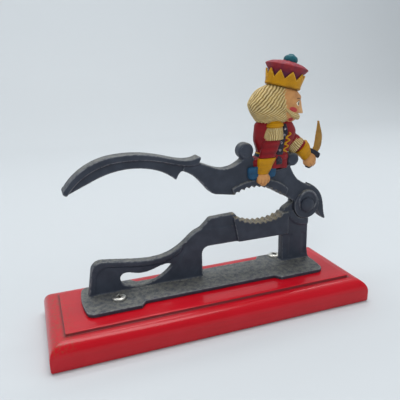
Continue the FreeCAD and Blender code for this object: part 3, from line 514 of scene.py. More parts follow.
def head_skin(rows, columns):
    """Head: an oval form; brow, nose, cheeks, eye hollows and chin are added as soft bumps."""
    sections = [(1.0, 4.4, 11.6, 7.8), (-5.0, 5.5, 14.0, 10.4), (-12.0, 5.5, 14.4, 10.6),
                (-18.0, 5.5, 15.0, 10.2), (-23.0, 5.6, 14.4, 9.2), (-27.6, 7.0, 9.0, 6.0)]
    points = oval_form(sections, 2.3, rows, columns, 1.8)
    normal = grid_normals(points)
    x, y, z = points[..., 0], points[..., 1], points[..., 2]
    front = smooth_step(x, 9.0, 17.0)
    brow, nose, low = face_profile(z)
    width = 1.5 + 1.3 * smooth_step(-z, 6.0, 16.0)
    across = np.exp(-(y / width) ** 2)
    points[..., 0] += front * (nose * across)
    out = front * (brow * np.exp(-((np.abs(y) - 4.0) / 4.5) ** 2) + low * np.exp(-(y / 3.6) ** 2))
    cheek = np.exp(-((z + 15.2) / 3.2) ** 2 - ((np.abs(y) - 7.2) / 2.6) ** 2) * smooth_step(x, 6.0, 12.0)
    socket = np.exp(-((z + 9.4) / 2.2) ** 2 - ((np.abs(y) - 5.6) / 2.4) ** 2) * front
    points += normal * (out + 0.9 * cheek - 0.8 * socket)[..., None]
    # painted shade under the nose, and a dark line under each lower lid
    groove = 0.6 * np.exp(-((z + 12.2) / 0.7) ** 2 - ((np.abs(y) - 6.0) / 2.4) ** 2) * front
    groove = groove + 0.5 * np.exp(-((z + 18.4) / 0.8) ** 2) * across * front
    drop = z - BLUSH[1]
    blush = smooth_step(1.2 - np.hypot((x - BLUSH[0] + 0.3 * drop) / 4.0, drop / 1.9), 0.0, 0.4)
    side = EYE_WAY[0] * (np.abs(y) - EYE[1]) - EYE_WAY[1] * (x - EYE[0])
    up = z - EYE[2]
    near_eye = smooth_step(x, 8.0, 10.0) * (np.abs(side) < 5.0)
    lid = 2.0 * (1 - (side / 3.5) ** 2)
    white = smooth_step(lid - np.abs(up), -0.05, 0.15) * near_eye
    iris = smooth_step(1.55 - np.hypot(side + 0.1, up), -0.05, 0.15) * white
    line = smooth_step(0.3 - np.abs(up - lid - 0.1), -0.1, 0.1) * (np.abs(side) < 3.6) * near_eye
    arch = smooth_step(0.4 - np.abs(up - 4.0 + 0.07 * (side - 0.6) ** 2), -0.1, 0.15)
    arch = arch * (np.abs(side) < 3.6) * near_eye
    mouth = smooth_step(1.0 - np.hypot((x - MOUTH[0]) / 2.6, (z - MOUTH[1]) / 1.6), 0.0, 0.15)
    cheeks = np.abs(y) > 3.0
    # the crest layer is a painted highlight down the middle of the nose, lips and chin
    return points, {"groove": np.clip(groove, 0, 1), "crest": across * front * smooth_step(-z, 8, 15),
                    "blush": blush * cheeks * 0.95, "white": white, "iris": iris,
                    "brow": np.maximum(line, arch), "mouth": mouth * cheeks}


def moustache_skin(rows, columns):
    """Moustache: a tapered bar bent round the head from tip to tip, its tips curling up.

    At turn u the bar's middle lies on the head's oval; its height falls from the tip to the lip, and
    a sine round the bar carves the hairs.
    """
    u = np.radians(np.linspace(-101.0, 101.0, rows))
    far = np.abs(u) / u.max()
    height = -20.3 + 6.0 * far ** 5
    tall = 0.35 + 2.0 * (1 - far ** 4)
    deep = 0.4 + 1.2 * (1 - far ** 4)
    ahead, aside = squared(u, 2.3)
    middle = np.stack([5.5 + 15.5 * ahead, 10.6 * aside, height], -1)
    out = np.stack([np.cos(u), np.sin(u), np.zeros(rows)], -1)
    v = np.linspace(0.0, 2 * math.pi, columns, endpoint=False)
    hairs = np.abs(np.sin(v[None] * 4.5 + 5.0 * far[:, None]))
    swell = 1 + 0.1 * (hairs - 0.5)
    points = (middle[:, None] + out[:, None] * (deep[:, None] * np.cos(v)[None] * swell)[..., None]
              + np.array([0.0, 0.0, 1.0]) * (tall[:, None] * np.sin(v)[None] * swell)[..., None])
    return points, {"groove": np.clip(1 - hairs * 1.8, 0, 1) * 0.9, "crest": smooth_step(hairs, 0.7, 1.0)}


# Coat's ovals: height, middle, half length, half depth; then the front strip's edges as (x, z) points
COAT = [(-5.0, -3.4, 17.4, 8.6), (5.0, -3.4, 17.4, 8.8), (12.6, 0.0, 14.0, 8.2), (24.0, 1.6, 18.0, 8.8),
        (31.0, 2.4, 18.6, 8.8), (38.0, 1.2, 16.4, 7.8), (41.0, 1.2, 12.6, 6.2)]
FRONT_STRIP_LEFT = [(5.4, 37.0), (4.0, 30.0), (0.8, 23.0), (-0.8, 10.0), (-0.6, 4.0)]
FRONT_STRIP_RIGHT = [(8.8, 37.0), (10.2, 30.0), (7.6, 23.0), (6.2, 10.0), (5.8, 4.0)]

# Buttons: along, up and radius; cords: start, swing and radius, with so many waves from end to end
BUTTONS = [(6.8, 33.0, 1.2), (5.8, 28.0, 1.3), (3.4, 22.0, 1.3), (2.6, 16.0, 1.3), (2.4, 8.0, 2.1)]
CORDS = [(0.0, 2.3, 0.62), (0.5, 1.1, 0.4)]
CORD_WAVES = 3.2


def crown_skin(columns):
    """Flared band with pointed teeth: the outer wall up to a zigzag rim and the inner wall back down.

    The rim's height at turn u is height - rise * (1 - saw(u)), where saw is a triangle wave from 0 to 1
    with one tip for each tooth; the wall's oval grows with height, and a bead runs round its foot.
    """
    u = np.linspace(0.0, 2 * math.pi, columns, endpoint=False)
    saw = np.abs(((u / (2 * math.pi) * CROWN_TEETH - 0.5) % 1.0) * 2 - 1)
    rim = CROWN_HEIGHT - TOOTH_RISE * (1 - saw)
    ahead, aside = squared(u, 2.2)
    up = np.linspace(0.0, 1.0, 14)
    outer = [(share, 0.0, 0.0, 0.5) for share in up]
    inner = [(share, CROWN_WALL, 0.0, 0.0) for share in up[::-1]]
    rows = []
    for share, inset, lift, bead in outer + [(1.0, CROWN_WALL * 0.5, 0.25, 0.0)] + inner:
        z = rim * share + lift
        reach = 14.5 + 2.4 * z / CROWN_HEIGHT - inset + bead * np.exp(-((z - 1.2) / 1.0) ** 2)
        rows.append(np.stack([ahead * reach + 2.3, aside * reach * 0.7, z], -1))
    points = np.stack(rows)
    # the rim's rows are paled as wear and painted highlight; the foot's two rows are darkened as painted shade
    # where the crown meets the hair
    edge, groove = np.zeros((2, *points.shape[:2]))
    edge[len(up) - 2:len(up) + 2] = 1.0
    groove[:2] = 0.5
    return points, {"crest": edge, "groove": groove}


def cap_skin(rows, columns):
    """Cushion cap that swells over the crown's teeth, with soft gathers that fade to the middle."""
    sections = [(1.0, 2.3, 12.2, 8.6), (6.0, 2.3, 13.4, 9.4), (11.4, 2.3, 14.6, 10.6), (13.6, 2.3, 16.2, 12.0),
                (15.7, 2.3, 17.7, 13.1), (16.5, 2.3, 17.8, 13.2), (17.3, 2.3, 16.6, 12.3), (19.2, 2.3, 12.8, 9.5),
                (20.4, 2.3, 7.4, 5.4)]
    points = oval_form(sections, 2.2, rows, columns, 0.5)
    normal = grid_normals(points)
    turn = np.arctan2(points[..., 1], points[..., 0] - 2.3)
    fade = smooth_step(points[..., 2], 11.0, 15.0)
    fold = np.sin(turn * 9 + 0.6 * np.sin(turn * 2))
    points = points + normal * (fade * 0.12 * fold)[..., None]
    # painted shade: darker in the gathers' hollows and over the band inside the crown's teeth; the crest layer is a
    # painted highlight on the cap's top
    groove = fade * smooth_step(-fold, 0.5, 1.0) * 0.3 + 0.9 * (1 - smooth_step(points[..., 2], 9.0, 14.5))
    return points, {"groove": np.clip(groove, 0, 1), "crest": smooth_step(points[..., 2], 16.2, 17.4)}


def pompon_skin(rows, columns):
    """Ball of clipped wool, cast as a dome with a soft pitted surface."""
    sections = [(18.6, 4.2, 5.0, 5.0), (21.4, 4.2, 5.7, 5.7), (24.4, 4.2, 4.9, 4.9), (26.4, 4.2, 2.4, 2.4)]
    points = oval_form(sections, 2.0, rows, columns, 0.9)
    normal = grid_normals(points)
    turn = np.arctan2(points[..., 1], points[..., 0] - 4.2)
    tuft = np.sin(turn * 9) * np.sin(points[..., 2] * 2.4)
    # the groove layer darkens the pits as painted shade, the crest layer lightens the top as a painted highlight
    return points + normal * (0.05 * tuft)[..., None], {"groove": smooth_step(-tuft, 0.3, 1.0) * 0.6,
                                                        "crest": smooth_step(points[..., 2], 24.0, 26.5)}


def coat_skin(rows, columns):
    """Coat through ovals from hem to shoulders; below the waist the heights shear to the slanted hem.

    Soft folds: the skirt stands out by a sine of the turn, the waist is pinched by a finer one.
    """
    points = oval_form(COAT, 2.4, rows, columns, 1.2)
    normal = grid_normals(points)
    x, z = points[..., 0], points[..., 2]
    hem = 3.6 - (x + 30.0) * 5.4 / 50.0
    drop = np.clip((12.6 - z) / 17.6, 0, 1)
    turn = np.arctan2(points[..., 1] * 1.6, points[..., 0])
    skirt = smooth_step(drop, 0.15, 0.6)
    fold = np.sin(turn * 7 + 0.5)
    waist = np.exp(-((z - 15.5) / 3.0) ** 2) * np.sin(turn * 11 + z * 0.5)
    points = points + normal * (0.3 * skirt * fold + 0.18 * waist - 0.25)[..., None]
    points[..., 2] += drop * (hem + 5.0)
    edge = smooth_step(drop, 0.82, 0.95)
    # the groove layer darkens the skirt's fold hollows as wash and painted shade; the crest layer pales the hem's
    # edge
    return points, {"groove": skirt * smooth_step(-fold, 0.4, 1.0) * 0.5, "crest": edge * 0.6}


def limb(sections, rows, columns, power=2.3, folds=0.0, fold_pitch=3.0):
    """An arm, cuff, leg, pad or grip through ovals, with rings of soft folds along it."""
    points = oval_form(sections, power, rows, columns, 0.8)
    normal = grid_normals(points)
    turn = np.arctan2(points[..., 1], points[..., 0] - points[..., 0].mean(1, keepdims=True))
    wave = np.sin(points[..., 2] * 2 * math.pi / fold_pitch + 1.3 * np.sin(turn))
    layers = {"groove": smooth_step(-wave, 0.4, 1.0) * min(1.0, folds * 3),
              "crest": smooth_step(wave, 0.6, 1.0) * min(1.0, folds * 2)}
    return points + normal * (folds * wave)[..., None], layers


def stranded(sections, rows, columns, count):
    """A skirt of hanging strands: ridges evenly round the oval, count of them."""
    points = oval_form(sections, 2.3, rows, columns, 0.5)
    normal = grid_normals(points)
    u = np.linspace(0.0, 2 * math.pi, columns, endpoint=False)[None]
    wave = np.abs(np.sin(u * count / 2 + 0.25 * np.sin(points[..., 2] * 0.9 + u * 5)))
    points = points + normal * (0.35 * (wave - 0.5))[..., None]
    return points, {"groove": np.clip(1 - wave * 1.25, 0, 1), "crest": smooth_step(wave, 0.75, 1.0)}


def hand_skin(sections, rows, columns):
    """A closed hand: an oval form with finger furrows across its lower half and a thumb ridge in front."""
    points = oval_form(sections, 2.3, rows, columns, 1.2)
    normal = grid_normals(points)
    low, high = points[..., 2].min(), points[..., 2].max()
    share = (points[..., 2] - low) / (high - low)
    fade = smooth_step(share, 0.05, 0.2) * (1 - smooth_step(share, 0.5, 0.7))
    centre = points[..., 0].mean()
    furrow = np.abs(np.sin((points[..., 0] - centre) * math.pi / FINGER_PITCH))
    thumb = np.exp(-((points[..., 0] - centre - 3.6) / 1.4) ** 2 - ((share - 0.62) / 0.2) ** 2)
    relief = -0.4 * fade * np.clip(1 - furrow * 2.2, 0, 1) + 0.8 * thumb * (points[..., 1] < 0)
    return points + normal * relief[..., None], {"groove": fade * np.clip(1 - furrow * 2.4, 0, 1) * 0.8}


def depth_at(skin, spots):
    """How deep a skin lies at (x, z) spots on its front: its five nearest points' mean, near ones first."""
    flat_skin = skin.reshape(-1, 3)
    flat_skin = flat_skin[flat_skin[:, 1] < -1.0]
    gap = ((spots.reshape(-1, 1, 2) - flat_skin[None][..., [0, 2]]) ** 2).sum(-1)
    touch = np.argpartition(gap, 5, 1)[:, :5]
    weight = 1.0 / (np.take_along_axis(gap, touch, 1) + 1e-2)
    weight /= weight.sum(1, keepdims=True)
    return (flat_skin[touch, 1] * weight).sum(1).reshape(spots.shape[:-1])


def sheet_on(skin, outline, rise, rows, columns):
    """A raised band laid on a skin's front, between a left and a right edge.

    Each edge is a smooth curve through (x, z) points from the top down; a point at share s across and
    t down lies at the mix of both edges, and stands off the skin by rise * (1 - |2 s - 1| ** 6).
    """
    t = np.linspace(0.0, 1.0, rows)
    left, right = along(outline[0], t), along(outline[1], t)
    s = np.linspace(0.0, 1.0, columns)
    spots = left[:, None] * (1 - s)[None, :, None] + right[:, None] * s[None, :, None]
    y = depth_at(skin, spots)
    stand = rise * (1 - np.abs(2 * s - 1) ** 6)[None] * np.ones((rows, 1)) - 0.3 * (np.abs(2 * s - 1) > 0.99)
    stand[0] = stand[-1] = -0.3
    front = np.stack([spots[..., 0], y - stand, spots[..., 1]], -1)
    back = np.stack([spots[..., 0], y + 0.8, spots[..., 1]], -1)
    return np.concatenate([front, back[:, ::-1]], 1)


def belt_skin(rows, columns):
    """Belt: the coat's own ovals grown outwards, between two slanted heights, closed over its edges."""
    x_share, y_share = squared(np.linspace(0.0, 2 * math.pi, columns, endpoint=False)[None], 2.4)
    across = np.linspace(0.0, 1.0, rows)[:, None]
    grow = 0.75 * (1 - np.abs(2 * across - 1) ** 8) - 0.2
    rough_x = 16.0 * x_share - 1.0
    low, high = 8.65 - 0.0815 * (rough_x + 3.0), 13.1 - 0.0926 * (rough_x + 3.0)
    z = low + (high - low) * across
    heights = np.array([s[0] for s in COAT])
    level = along(COAT, np.interp(z, heights, np.linspace(0, 1, len(COAT))))
    points = np.stack([level[..., 1] + (level[..., 2] + grow) * x_share, (level[..., 3] + grow) * y_share, z], -1)
    front = smooth_step(points[..., 0], -1.5, -0.5)
    return points, {"red": front, "gold": smooth_step(across, 0.8, 0.84) * (1 - front)}


def plate_between(left, right, half, rows, columns, edge):
    """A plate between two smooth edges in the side plane, its section an oval squared off by edge.

    Round the section at turn v a point lies across at (1 - cos v) / 2 of the way and stands out by
    half * |sin v| ** edge.
    """
    t = np.linspace(0.0, 1.0, rows)
    first, last = along(left, t), along(right, t)
    v = np.linspace(0.0, 2 * math.pi, columns, endpoint=False)
    share = ((1 - np.cos(v)) / 2)[None, :, None]
    flat = first[:, None] * (1 - share) + last[:, None] * share
    out = half * np.sign(np.sin(v)) * np.abs(np.sin(v)) ** edge
    return np.stack([flat[..., 0], np.repeat(out[None], rows, 0), flat[..., 1]], -1)


# The press's own forms
def board_skin(round_over, panel_inset, panel_step):
    """Board: one profile carried round nested rectangles, mitred at the corners like a router cut.

    The profile runs up the side, over a quarter circle, across the ledge and up the panel's step.
    """
    low, high = [np.array(v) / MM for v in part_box("base_board")]
    half = (high - low)[:2] / 2
    top = high[2]
    ledge = top - panel_step
    quarter = np.linspace(0, math.pi / 2, 12)
    profile = [(44.0, 0.0), (BOARD_TUCK, 0.0), (0.5, 0.5), (0.0, BOARD_TUCK), (0.0, (ledge - round_over) * 0.5)]
    profile += [(round_over * (1 - math.cos(a)), ledge - round_over + round_over * math.sin(a)) for a in quarter]
    profile += [(panel_inset - 0.5, ledge), (panel_inset - 0.1, ledge + 0.15), (panel_inset + 0.05, ledge + 0.5),
                (panel_inset + 0.1, top - 0.5), (panel_inset + 0.3, top - 0.12), (panel_inset + 0.8, top),
                (panel_inset + 3.0, top), (panel_inset + 12.0, top), (half[1] - 12.0, top), (half[1] - 0.6, top)]
    corner = np.linspace(0, math.pi / 2, 5)
    rings = []
    for inset, z in profile:
        reach = half - inset
        r = min(CORNER_TURN, reach[1] * 0.9)
        x, y = reach[0] - r, reach[1] - r
        half_ring = [np.stack([np.full(24, reach[0]), np.linspace(-y, y, 24)], -1),
                     np.stack([x + r * np.cos(corner), y + r * np.sin(corner)], -1)[1:-1],
                     np.stack([np.linspace(x, -x, 90), np.full(90, reach[1])], -1),
                     np.stack([-x - r * np.sin(corner), y + r * np.cos(corner)], -1)[1:-1]]
        ring = np.concatenate(half_ring + [-edge for edge in half_ring])
        rings.append(np.concatenate([ring, np.full((len(ring), 1), z)], 1))
    points = np.stack(rings) + np.array([*((low + high)[:2] / 2), 0.0])
    inset = np.array([p[0] for p in profile])[:, None] * np.ones(points.shape[1])
    level = points[..., 2]
    # painted shade along the foot of the panel's step
    step_shade = np.exp(-((inset - panel_inset) / STEP_SHADE_WIDTH) ** 2) * (level < top - 0.3) * (level > ledge - 0.5)
    left_end = smooth_step(-points[..., 0], 100.0, 124.0)
    return points, {"step_shade": step_shade, "rub": left_end * smooth_step(level, 8.0, 20.0) * 0.9}


def cast_copy(name, grain_mm, passes):
    """Copy of a casting's solid whose edges are softened as sand casting leaves them.

    Its layers are found on the new mesh: edge where a point stands out from its neighbours' mean, top
    where it faces up, and teeth inside the jaw's hollow.
    """
    rough = bpy.data.objects.new(name + "_rough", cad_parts[name].data.copy())
    bpy.context.scene.collection.objects.link(rough)
    weld = rough.modifiers.new("weld", "WELD")
    weld.merge_threshold = 0.000005
    voxels = rough.modifiers.new("voxels", "REMESH")
    voxels.mode = "VOXEL"
    voxels.voxel_size = grain_mm * MM
    soften = rough.modifiers.new("soften", "SMOOTH")
    soften.factor = 0.5
    soften.iterations = passes
    mesh = bpy.data.meshes.new_from_object(rough.evaluated_get(bpy.context.evaluated_depsgraph_get()))
    bpy.data.objects.remove(rough)
    mesh.name = name + "_skin"
    piece = bpy.data.objects.new(name + "_skin", mesh)
    bpy.context.scene.collection.objects.link(piece)
    count = len(mesh.vertices)
    points, normal = np.empty((count, 3), np.float32), np.empty((count, 3), np.float32)
    ends = np.empty((len(mesh.edges), 2), np.int32)
    mesh.vertices.foreach_get("co", points.ravel())
    mesh.vertices.foreach_get("normal", normal.ravel())
    mesh.edges.foreach_get("vertices", ends.ravel())
    points = points / MM
    pull = np.zeros_like(points)
    degree = np.zeros(count)
    for a, b in ((0, 1), (1, 0)):
        for axis in range(3):
            pull[:, axis] += np.bincount(ends[:, a], points[ends[:, b], axis], count)
        degree += np.bincount(ends[:, a], minlength=count)
    bulge = -((pull / degree[:, None] - points) * normal).sum(1) / grain_mm
    layers = {"edge": smooth_step(bulge, 0.04, 0.16), "top": smooth_step(normal[:, 2], 0.45, 0.9)}
    x, z = points[:, 0], points[:, 2]
    if name == "lower_casting":
        bite = smooth_step(x, 25.0, 29.0) * (1 - smooth_step(x, 72.0, 76.0)) * smooth_step(z, 61.0, 64.0)
        layers["teeth"] = bite * smooth_step(normal[:, 2], 0.15, 0.6)
    else:
        reach = np.hypot(x - PIVOT[0] - UPPER_JAW_MIDDLE[0], z - PIVOT[2] - UPPER_JAW_MIDDLE[1])
        bite = (1 - smooth_step(reach, 37.0, 39.0)) * smooth_step(x, 26.0, 29.0)
        layers["teeth"] = bite * (z > 80.0) * smooth_step(-normal[:, 2], 0.1, 0.6) * 0.6
    add_layers(mesh, layers)
    return piece


def screw_skin(middle):
    """Pan head turned about Z with a cross recess, and its shank below.

    Inside the cross, where either |x| or |y| is under half the slot's width and the other under its
    reach, the top is sunk by the recess depth through a smooth wall.
    """
    radius, height = SCREW_HEAD
    r = np.concatenate([np.linspace(0.0, radius * 0.98, 44)[1:], [radius, radius, radius]])
    u = np.linspace(0, 2 * math.pi, 120, endpoint=False)
    share = np.clip(r / radius, 0, 1)
    top = height * np.sqrt(np.clip(1 - (share * 0.93) ** 6, 0, 1)) * (1 - 0.12 * share ** 2)
    top[-2] = height * 0.15
    top[-1] = 0.0
    x = r[:, None] * np.cos(u)
    y = r[:, None] * np.sin(u)
    z = top[:, None] * np.ones_like(x)
    cross = np.maximum(*[(1 - smooth_step(np.abs(a), 0.45, 0.85)) * (1 - smooth_step(np.abs(b), 2.3, 2.9))
                         for a, b in ((x, y), (y, x))])
    z = z - RECESS_DEPTH * cross * (r[:, None] < radius * 0.9)
    shank = [np.stack([np.cos(u) * SCREW_SHANK[0], np.sin(u) * SCREW_SHANK[0], np.full_like(u, level)], -1)
             for level in (-SCREW_SHANK[1], 0.0)]
    points = np.concatenate([shank, np.stack([x, y, z], -1)[::-1]]) + middle
    return points, {"groove": np.concatenate([np.zeros((2, len(u))), cross[::-1]])}


def turned_y(profile, columns, middle):
    """Turned form about Y: every profile point (radius, y) goes round a full circle."""
    radius, depth = np.hsplit(np.asarray(profile, float), 2)
    u = np.linspace(0, 2 * math.pi, columns, endpoint=False)
    points = np.stack([radius * np.cos(u), np.repeat(depth, columns, 1), radius * np.sin(u)], -1)
    return points[:, ::-1] + middle


# The stage
def studio_air():
    """Even pale air, dimmer high up in front so that gloss stays dark there, greyer at the skyline.

    The dimming is the product of a ramp over the direction's Y and one over its Z. The skyline's ramp
    counts only for the rays that show the background itself: camera, glossy and transmission.
    """
    world = bpy.data.worlds.new("Studio air")
    world.use_nodes = True
    tree = world.node_tree
    way = node(tree, "ShaderNodeTexCoord").outputs["Generated"]
    split = node(tree, "ShaderNodeSeparateXYZ", {"Vector": way}).outputs
    front, high, skyline = [
        node(tree, "ShaderNodeMapRange", {"Value": split[axis], "From Min": start, "From Max": end},
             interpolation_type="SMOOTHSTEP").outputs["Result"]
        for axis, start, end in (("Y", 0.35, -0.1), ("Z", 0.16, 0.4), ("Z", 0.3, -0.05))]
    dim = node(tree, "ShaderNodeMath", {0: front, 1: high}, operation="MULTIPLY").outputs[0]
    room = node(tree, "ShaderNodeMapRange", {"Value": dim, "To Min": ROOM_LIGHT, "To Max": FRONT_LIGHT})
    ray = node(tree, "ShaderNodeLightPath").outputs
    seen = ray["Is Camera Ray"]
    for kind in ("Is Glossy Ray", "Is Transmission Ray"):
        seen = node(tree, "ShaderNodeMath", {0: seen, 1: ray[kind]}, operation="MAXIMUM").outputs[0]
    fade = node(tree, "ShaderNodeMath", {0: seen, 1: skyline}, operation="MULTIPLY").outputs[0]
    keep = node(tree, "ShaderNodeMapRange", {"Value": fade, "To Min": 1.0, "To Max": SKYLINE_SHARE})
    strength = node(tree, "ShaderNodeMath", {0: room.outputs["Result"], 1: keep.outputs["Result"]},
                    operation="MULTIPLY").outputs[0]
    air = tree.nodes["Background"]
    air.inputs["Color"].default_value = colour("#e9eef4")
    tree.links.new(strength, air.inputs["Strength"])
    return world


def photo_camera():
    """The camera that took the photograph, from its place, its three angles and its focal length."""
    azimuth, elevation, roll = (math.radians(d) for d in (CAMERA_AZIMUTH, CAMERA_ELEVATION, CAMERA_ROLL))
    ahead = Vector((-math.sin(azimuth) * math.cos(elevation), math.cos(azimuth) * math.cos(elevation),
                    -math.sin(elevation)))
    level = Vector((math.cos(azimuth), math.sin(azimuth), 0.0))
    upright = level.cross(ahead)
    right = math.cos(roll) * level + math.sin(roll) * upright
    up = math.cos(roll) * upright - math.sin(roll) * level
    lens = bpy.data.cameras.new("photo_camera")
    lens.sensor_fit = "HORIZONTAL"
    lens.sensor_width = SENSOR_WIDTH
    lens.lens = FOCAL_PIXELS * SENSOR_WIDTH / PICTURE_PIXELS
    lens.clip_start, lens.clip_end = 0.01, 20.0
    camera = bpy.data.objects.new("photo_camera", lens)
    bpy.context.scene.collection.objects.link(camera)
    turn = Matrix((right, up, -ahead)).transposed().to_4x4()
    camera.matrix_world = Matrix.Translation(Vector(CAMERA_PLACE) * MM) @ turn
    return camera


# Sizes and colours that a user would change
class PressSizes(bpy.types.PropertyGroup):
    round_over: FloatProperty(name="Round-over", description="Radius of the board's routed edge", unit="LENGTH",
                              default=0.010, min=0.002, max=0.015)
    panel_inset: FloatProperty(name="Panel inset", description="From the board's edge to its raised panel",
                               unit="LENGTH", default=0.0123, min=0.0105, max=0.025)
    panel_step: FloatProperty(name="Panel step", description="Height of the raised panel", unit="LENGTH",
                              default=0.002, min=0.0005, max=0.005)
    casting_grain: FloatProperty(name="Casting grain", description="Cell size that softens the castings' edges",
                                 unit="LENGTH", default=0.0007, min=0.0005, max=0.0015)
    soft_passes: IntProperty(name="Softening passes", description="How often the castings are smoothed",
                             default=4, min=0, max=20)
    fringe_strands: IntProperty(name="Fringe strands", description="Ridges round each epaulette fringe",
                                default=30, min=8, max=60)
    fold_depth: FloatProperty(name="Sleeve folds", description="Depth of the folds in the sleeves",
                              unit="LENGTH", default=0.00012, min=0.0, max=0.0006)


class PressPaints(bpy.types.PropertyGroup):
    board: StringProperty(name="Board", description="Enamel on the board, sRGB hex", default="#ae0014")
    iron: StringProperty(name="Iron", description="Paint on the castings, sRGB hex", default="#2a303b")
    coat: StringProperty(name="Coat", description="The coat's enamel, sRGB hex", default="#7e0f17")
    cap: StringProperty(name="Cap", description="The cap's enamel, sRGB hex", default="#86252c")
    gold: StringProperty(name="Ochre", description="Crown, cuffs, epaulettes and cords, sRGB hex",
                         default="#b88200")
    cream: StringProperty(name="Cream", description="Hair, moustache and fringe, sRGB hex", default="#bfa468")
    skin: StringProperty(name="Skin", description="Face and hands, sRGB hex", default="#c58f58")
    trousers: StringProperty(name="Trousers", description="Leg enamel, sRGB hex", default="#1c4a6a")


class NUTCRACKER_OT_board(bpy.types.Operator):
    """Lay the enamelled board with its routed edge and raised panel"""
    bl_idname = "nutcracker.board"
    bl_label = "Board"

    def execute(self, context):
        sizes = context.scene.press_sizes
        points, layers = board_skin(sizes.round_over / MM, sizes.panel_inset / MM, sizes.panel_step / MM)
        rows, columns = points.shape[:2]
        faces = [grid_faces(rows, columns), np.arange(columns)[None, ::-1],
                 (np.arange(columns) + (rows - 1) * columns)[None]]
        piece = new_piece("board_skin", points.reshape(-1, 3), faces, layers)
        place_piece(piece, "base", lacquered_board(context.scene.press_paints.board), "base_board")
        return {"FINISHED"}


class NUTCRACKER_OT_castings(bpy.types.Operator):
    """Soften the two castings and paint them charcoal"""
    bl_idname = "nutcracker.castings"
    bl_label = "Castings"

    def execute(self, context):
        sizes = context.scene.press_sizes
        paint = cast_iron_paint(context.scene.press_paints.iron)
        lower = cast_copy("lower_casting", sizes.casting_grain / MM, sizes.soft_passes)
        place_piece(lower, "base", paint, "lower_casting")
        lever = cast_copy("lever_casting", sizes.casting_grain * 0.8 / MM, sizes.soft_passes)
        place_piece(lever, "lever", paint, "lever_casting")
        return {"FINISHED"}


class NUTCRACKER_OT_fasteners(bpy.types.Operator):
    """Turn the pivot rivet and the two board screws"""
    bl_idname = "nutcracker.fasteners"
    bl_label = "Rivet and screws"

    def execute(self, context):
        low, high = [np.array(v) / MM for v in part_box("pivot_rivet")]
        middle = [(low[0] + high[0]) / 2, 0.0, (low[2] + high[2]) / 2]
        radius = (high[0] - low[0]) / 2
        dome = np.linspace(0.08, math.pi / 2, 10)
        profile = [(radius * math.sin(a), low[1] + 2.4 * (1 - math.cos(a))) for a in dome]
        profile += [(radius, low[1] + 2.95), (RIVET_SHANK, low[1] + 3.0), (RIVET_SHANK, high[1] - 1.8),
                    (RIVET_TAIL - 0.1, high[1] - 1.75), (RIVET_TAIL, high[1] - 1.2)]
        profile += [(RIVET_TAIL * math.cos(a), high[1] - 1.2 + 1.2 * math.sin(a)) for a in np.linspace(0.2, 1.5, 7)]
        rivet = new_piece("rivet_skin", *closed_grid(turned_y(profile, 64, middle)))
        iron = bpy.data.materials["Charcoal paint on sand-cast iron"]
        place_piece(rivet, "base", iron, "pivot_rivet")
        low, high = [np.array(v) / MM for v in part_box("wood_screws")]
        radius, height = SCREW_HEAD
        screws = [closed_grid(*screw_skin((x, y, high[2] - height)))
                  for x, y in ((low + radius)[:2], (high - radius)[:2])]
        place_piece(new_piece("screws_skin", *merge(screws)), "base", plated_screw(),
                    "wood_screws")
        return {"FINISHED"}


class NUTCRACKER_OT_head(bpy.types.Operator):
    """Model the king's head with its painted face, carved hair and moustache"""
    bl_idname = "nutcracker.head"
    bl_label = "Head, hair and moustache"

    def execute(self, context):
        paints = context.scene.press_paints
        cream = cream_enamel(paints.cream)
        king_piece("head_skin", "skin_paint", flesh_enamel(paints.skin), "king_head",
                   (head_skin(190, 300), HEAD_FRAME))
        king_piece("hair_skin", "cream_paint", cream, "king_hair", (hair_skin(150, 300), HEAD_FRAME))
        king_piece("moustache_skin", "cream_paint", cream, "king_moustache",
                   (moustache_skin(160, 48), HEAD_FRAME))
        return {"FINISHED"}


class NUTCRACKER_OT_headgear(bpy.types.Operator):
    """Model the toothed crown, the soft cap inside it and the pompon"""
    bl_idname = "nutcracker.headgear"
    bl_label = "Crown, cap and pompon"

    def execute(self, context):
        paints = context.scene.press_paints
        points, layers = crown_skin(300)
        faces = [grid_faces(*points.shape[:2], wrap_rows=True)]
        crown = new_piece("crown_skin", lean(points, *HEAD_FRAME).reshape(-1, 3), faces, layers)
        place_piece(crown, "lever", ochre_enamel(paints.gold), "king_crown")
        king_piece("cap_skin", "cap_red", cap_enamel(paints.cap), "king_cap", (cap_skin(90, 160), HEAD_FRAME))
        king_piece("pompon_skin", "teal_paint", teal_enamel(), "king_pompon", (pompon_skin(50, 80), HEAD_FRAME))
        return {"FINISHED"}


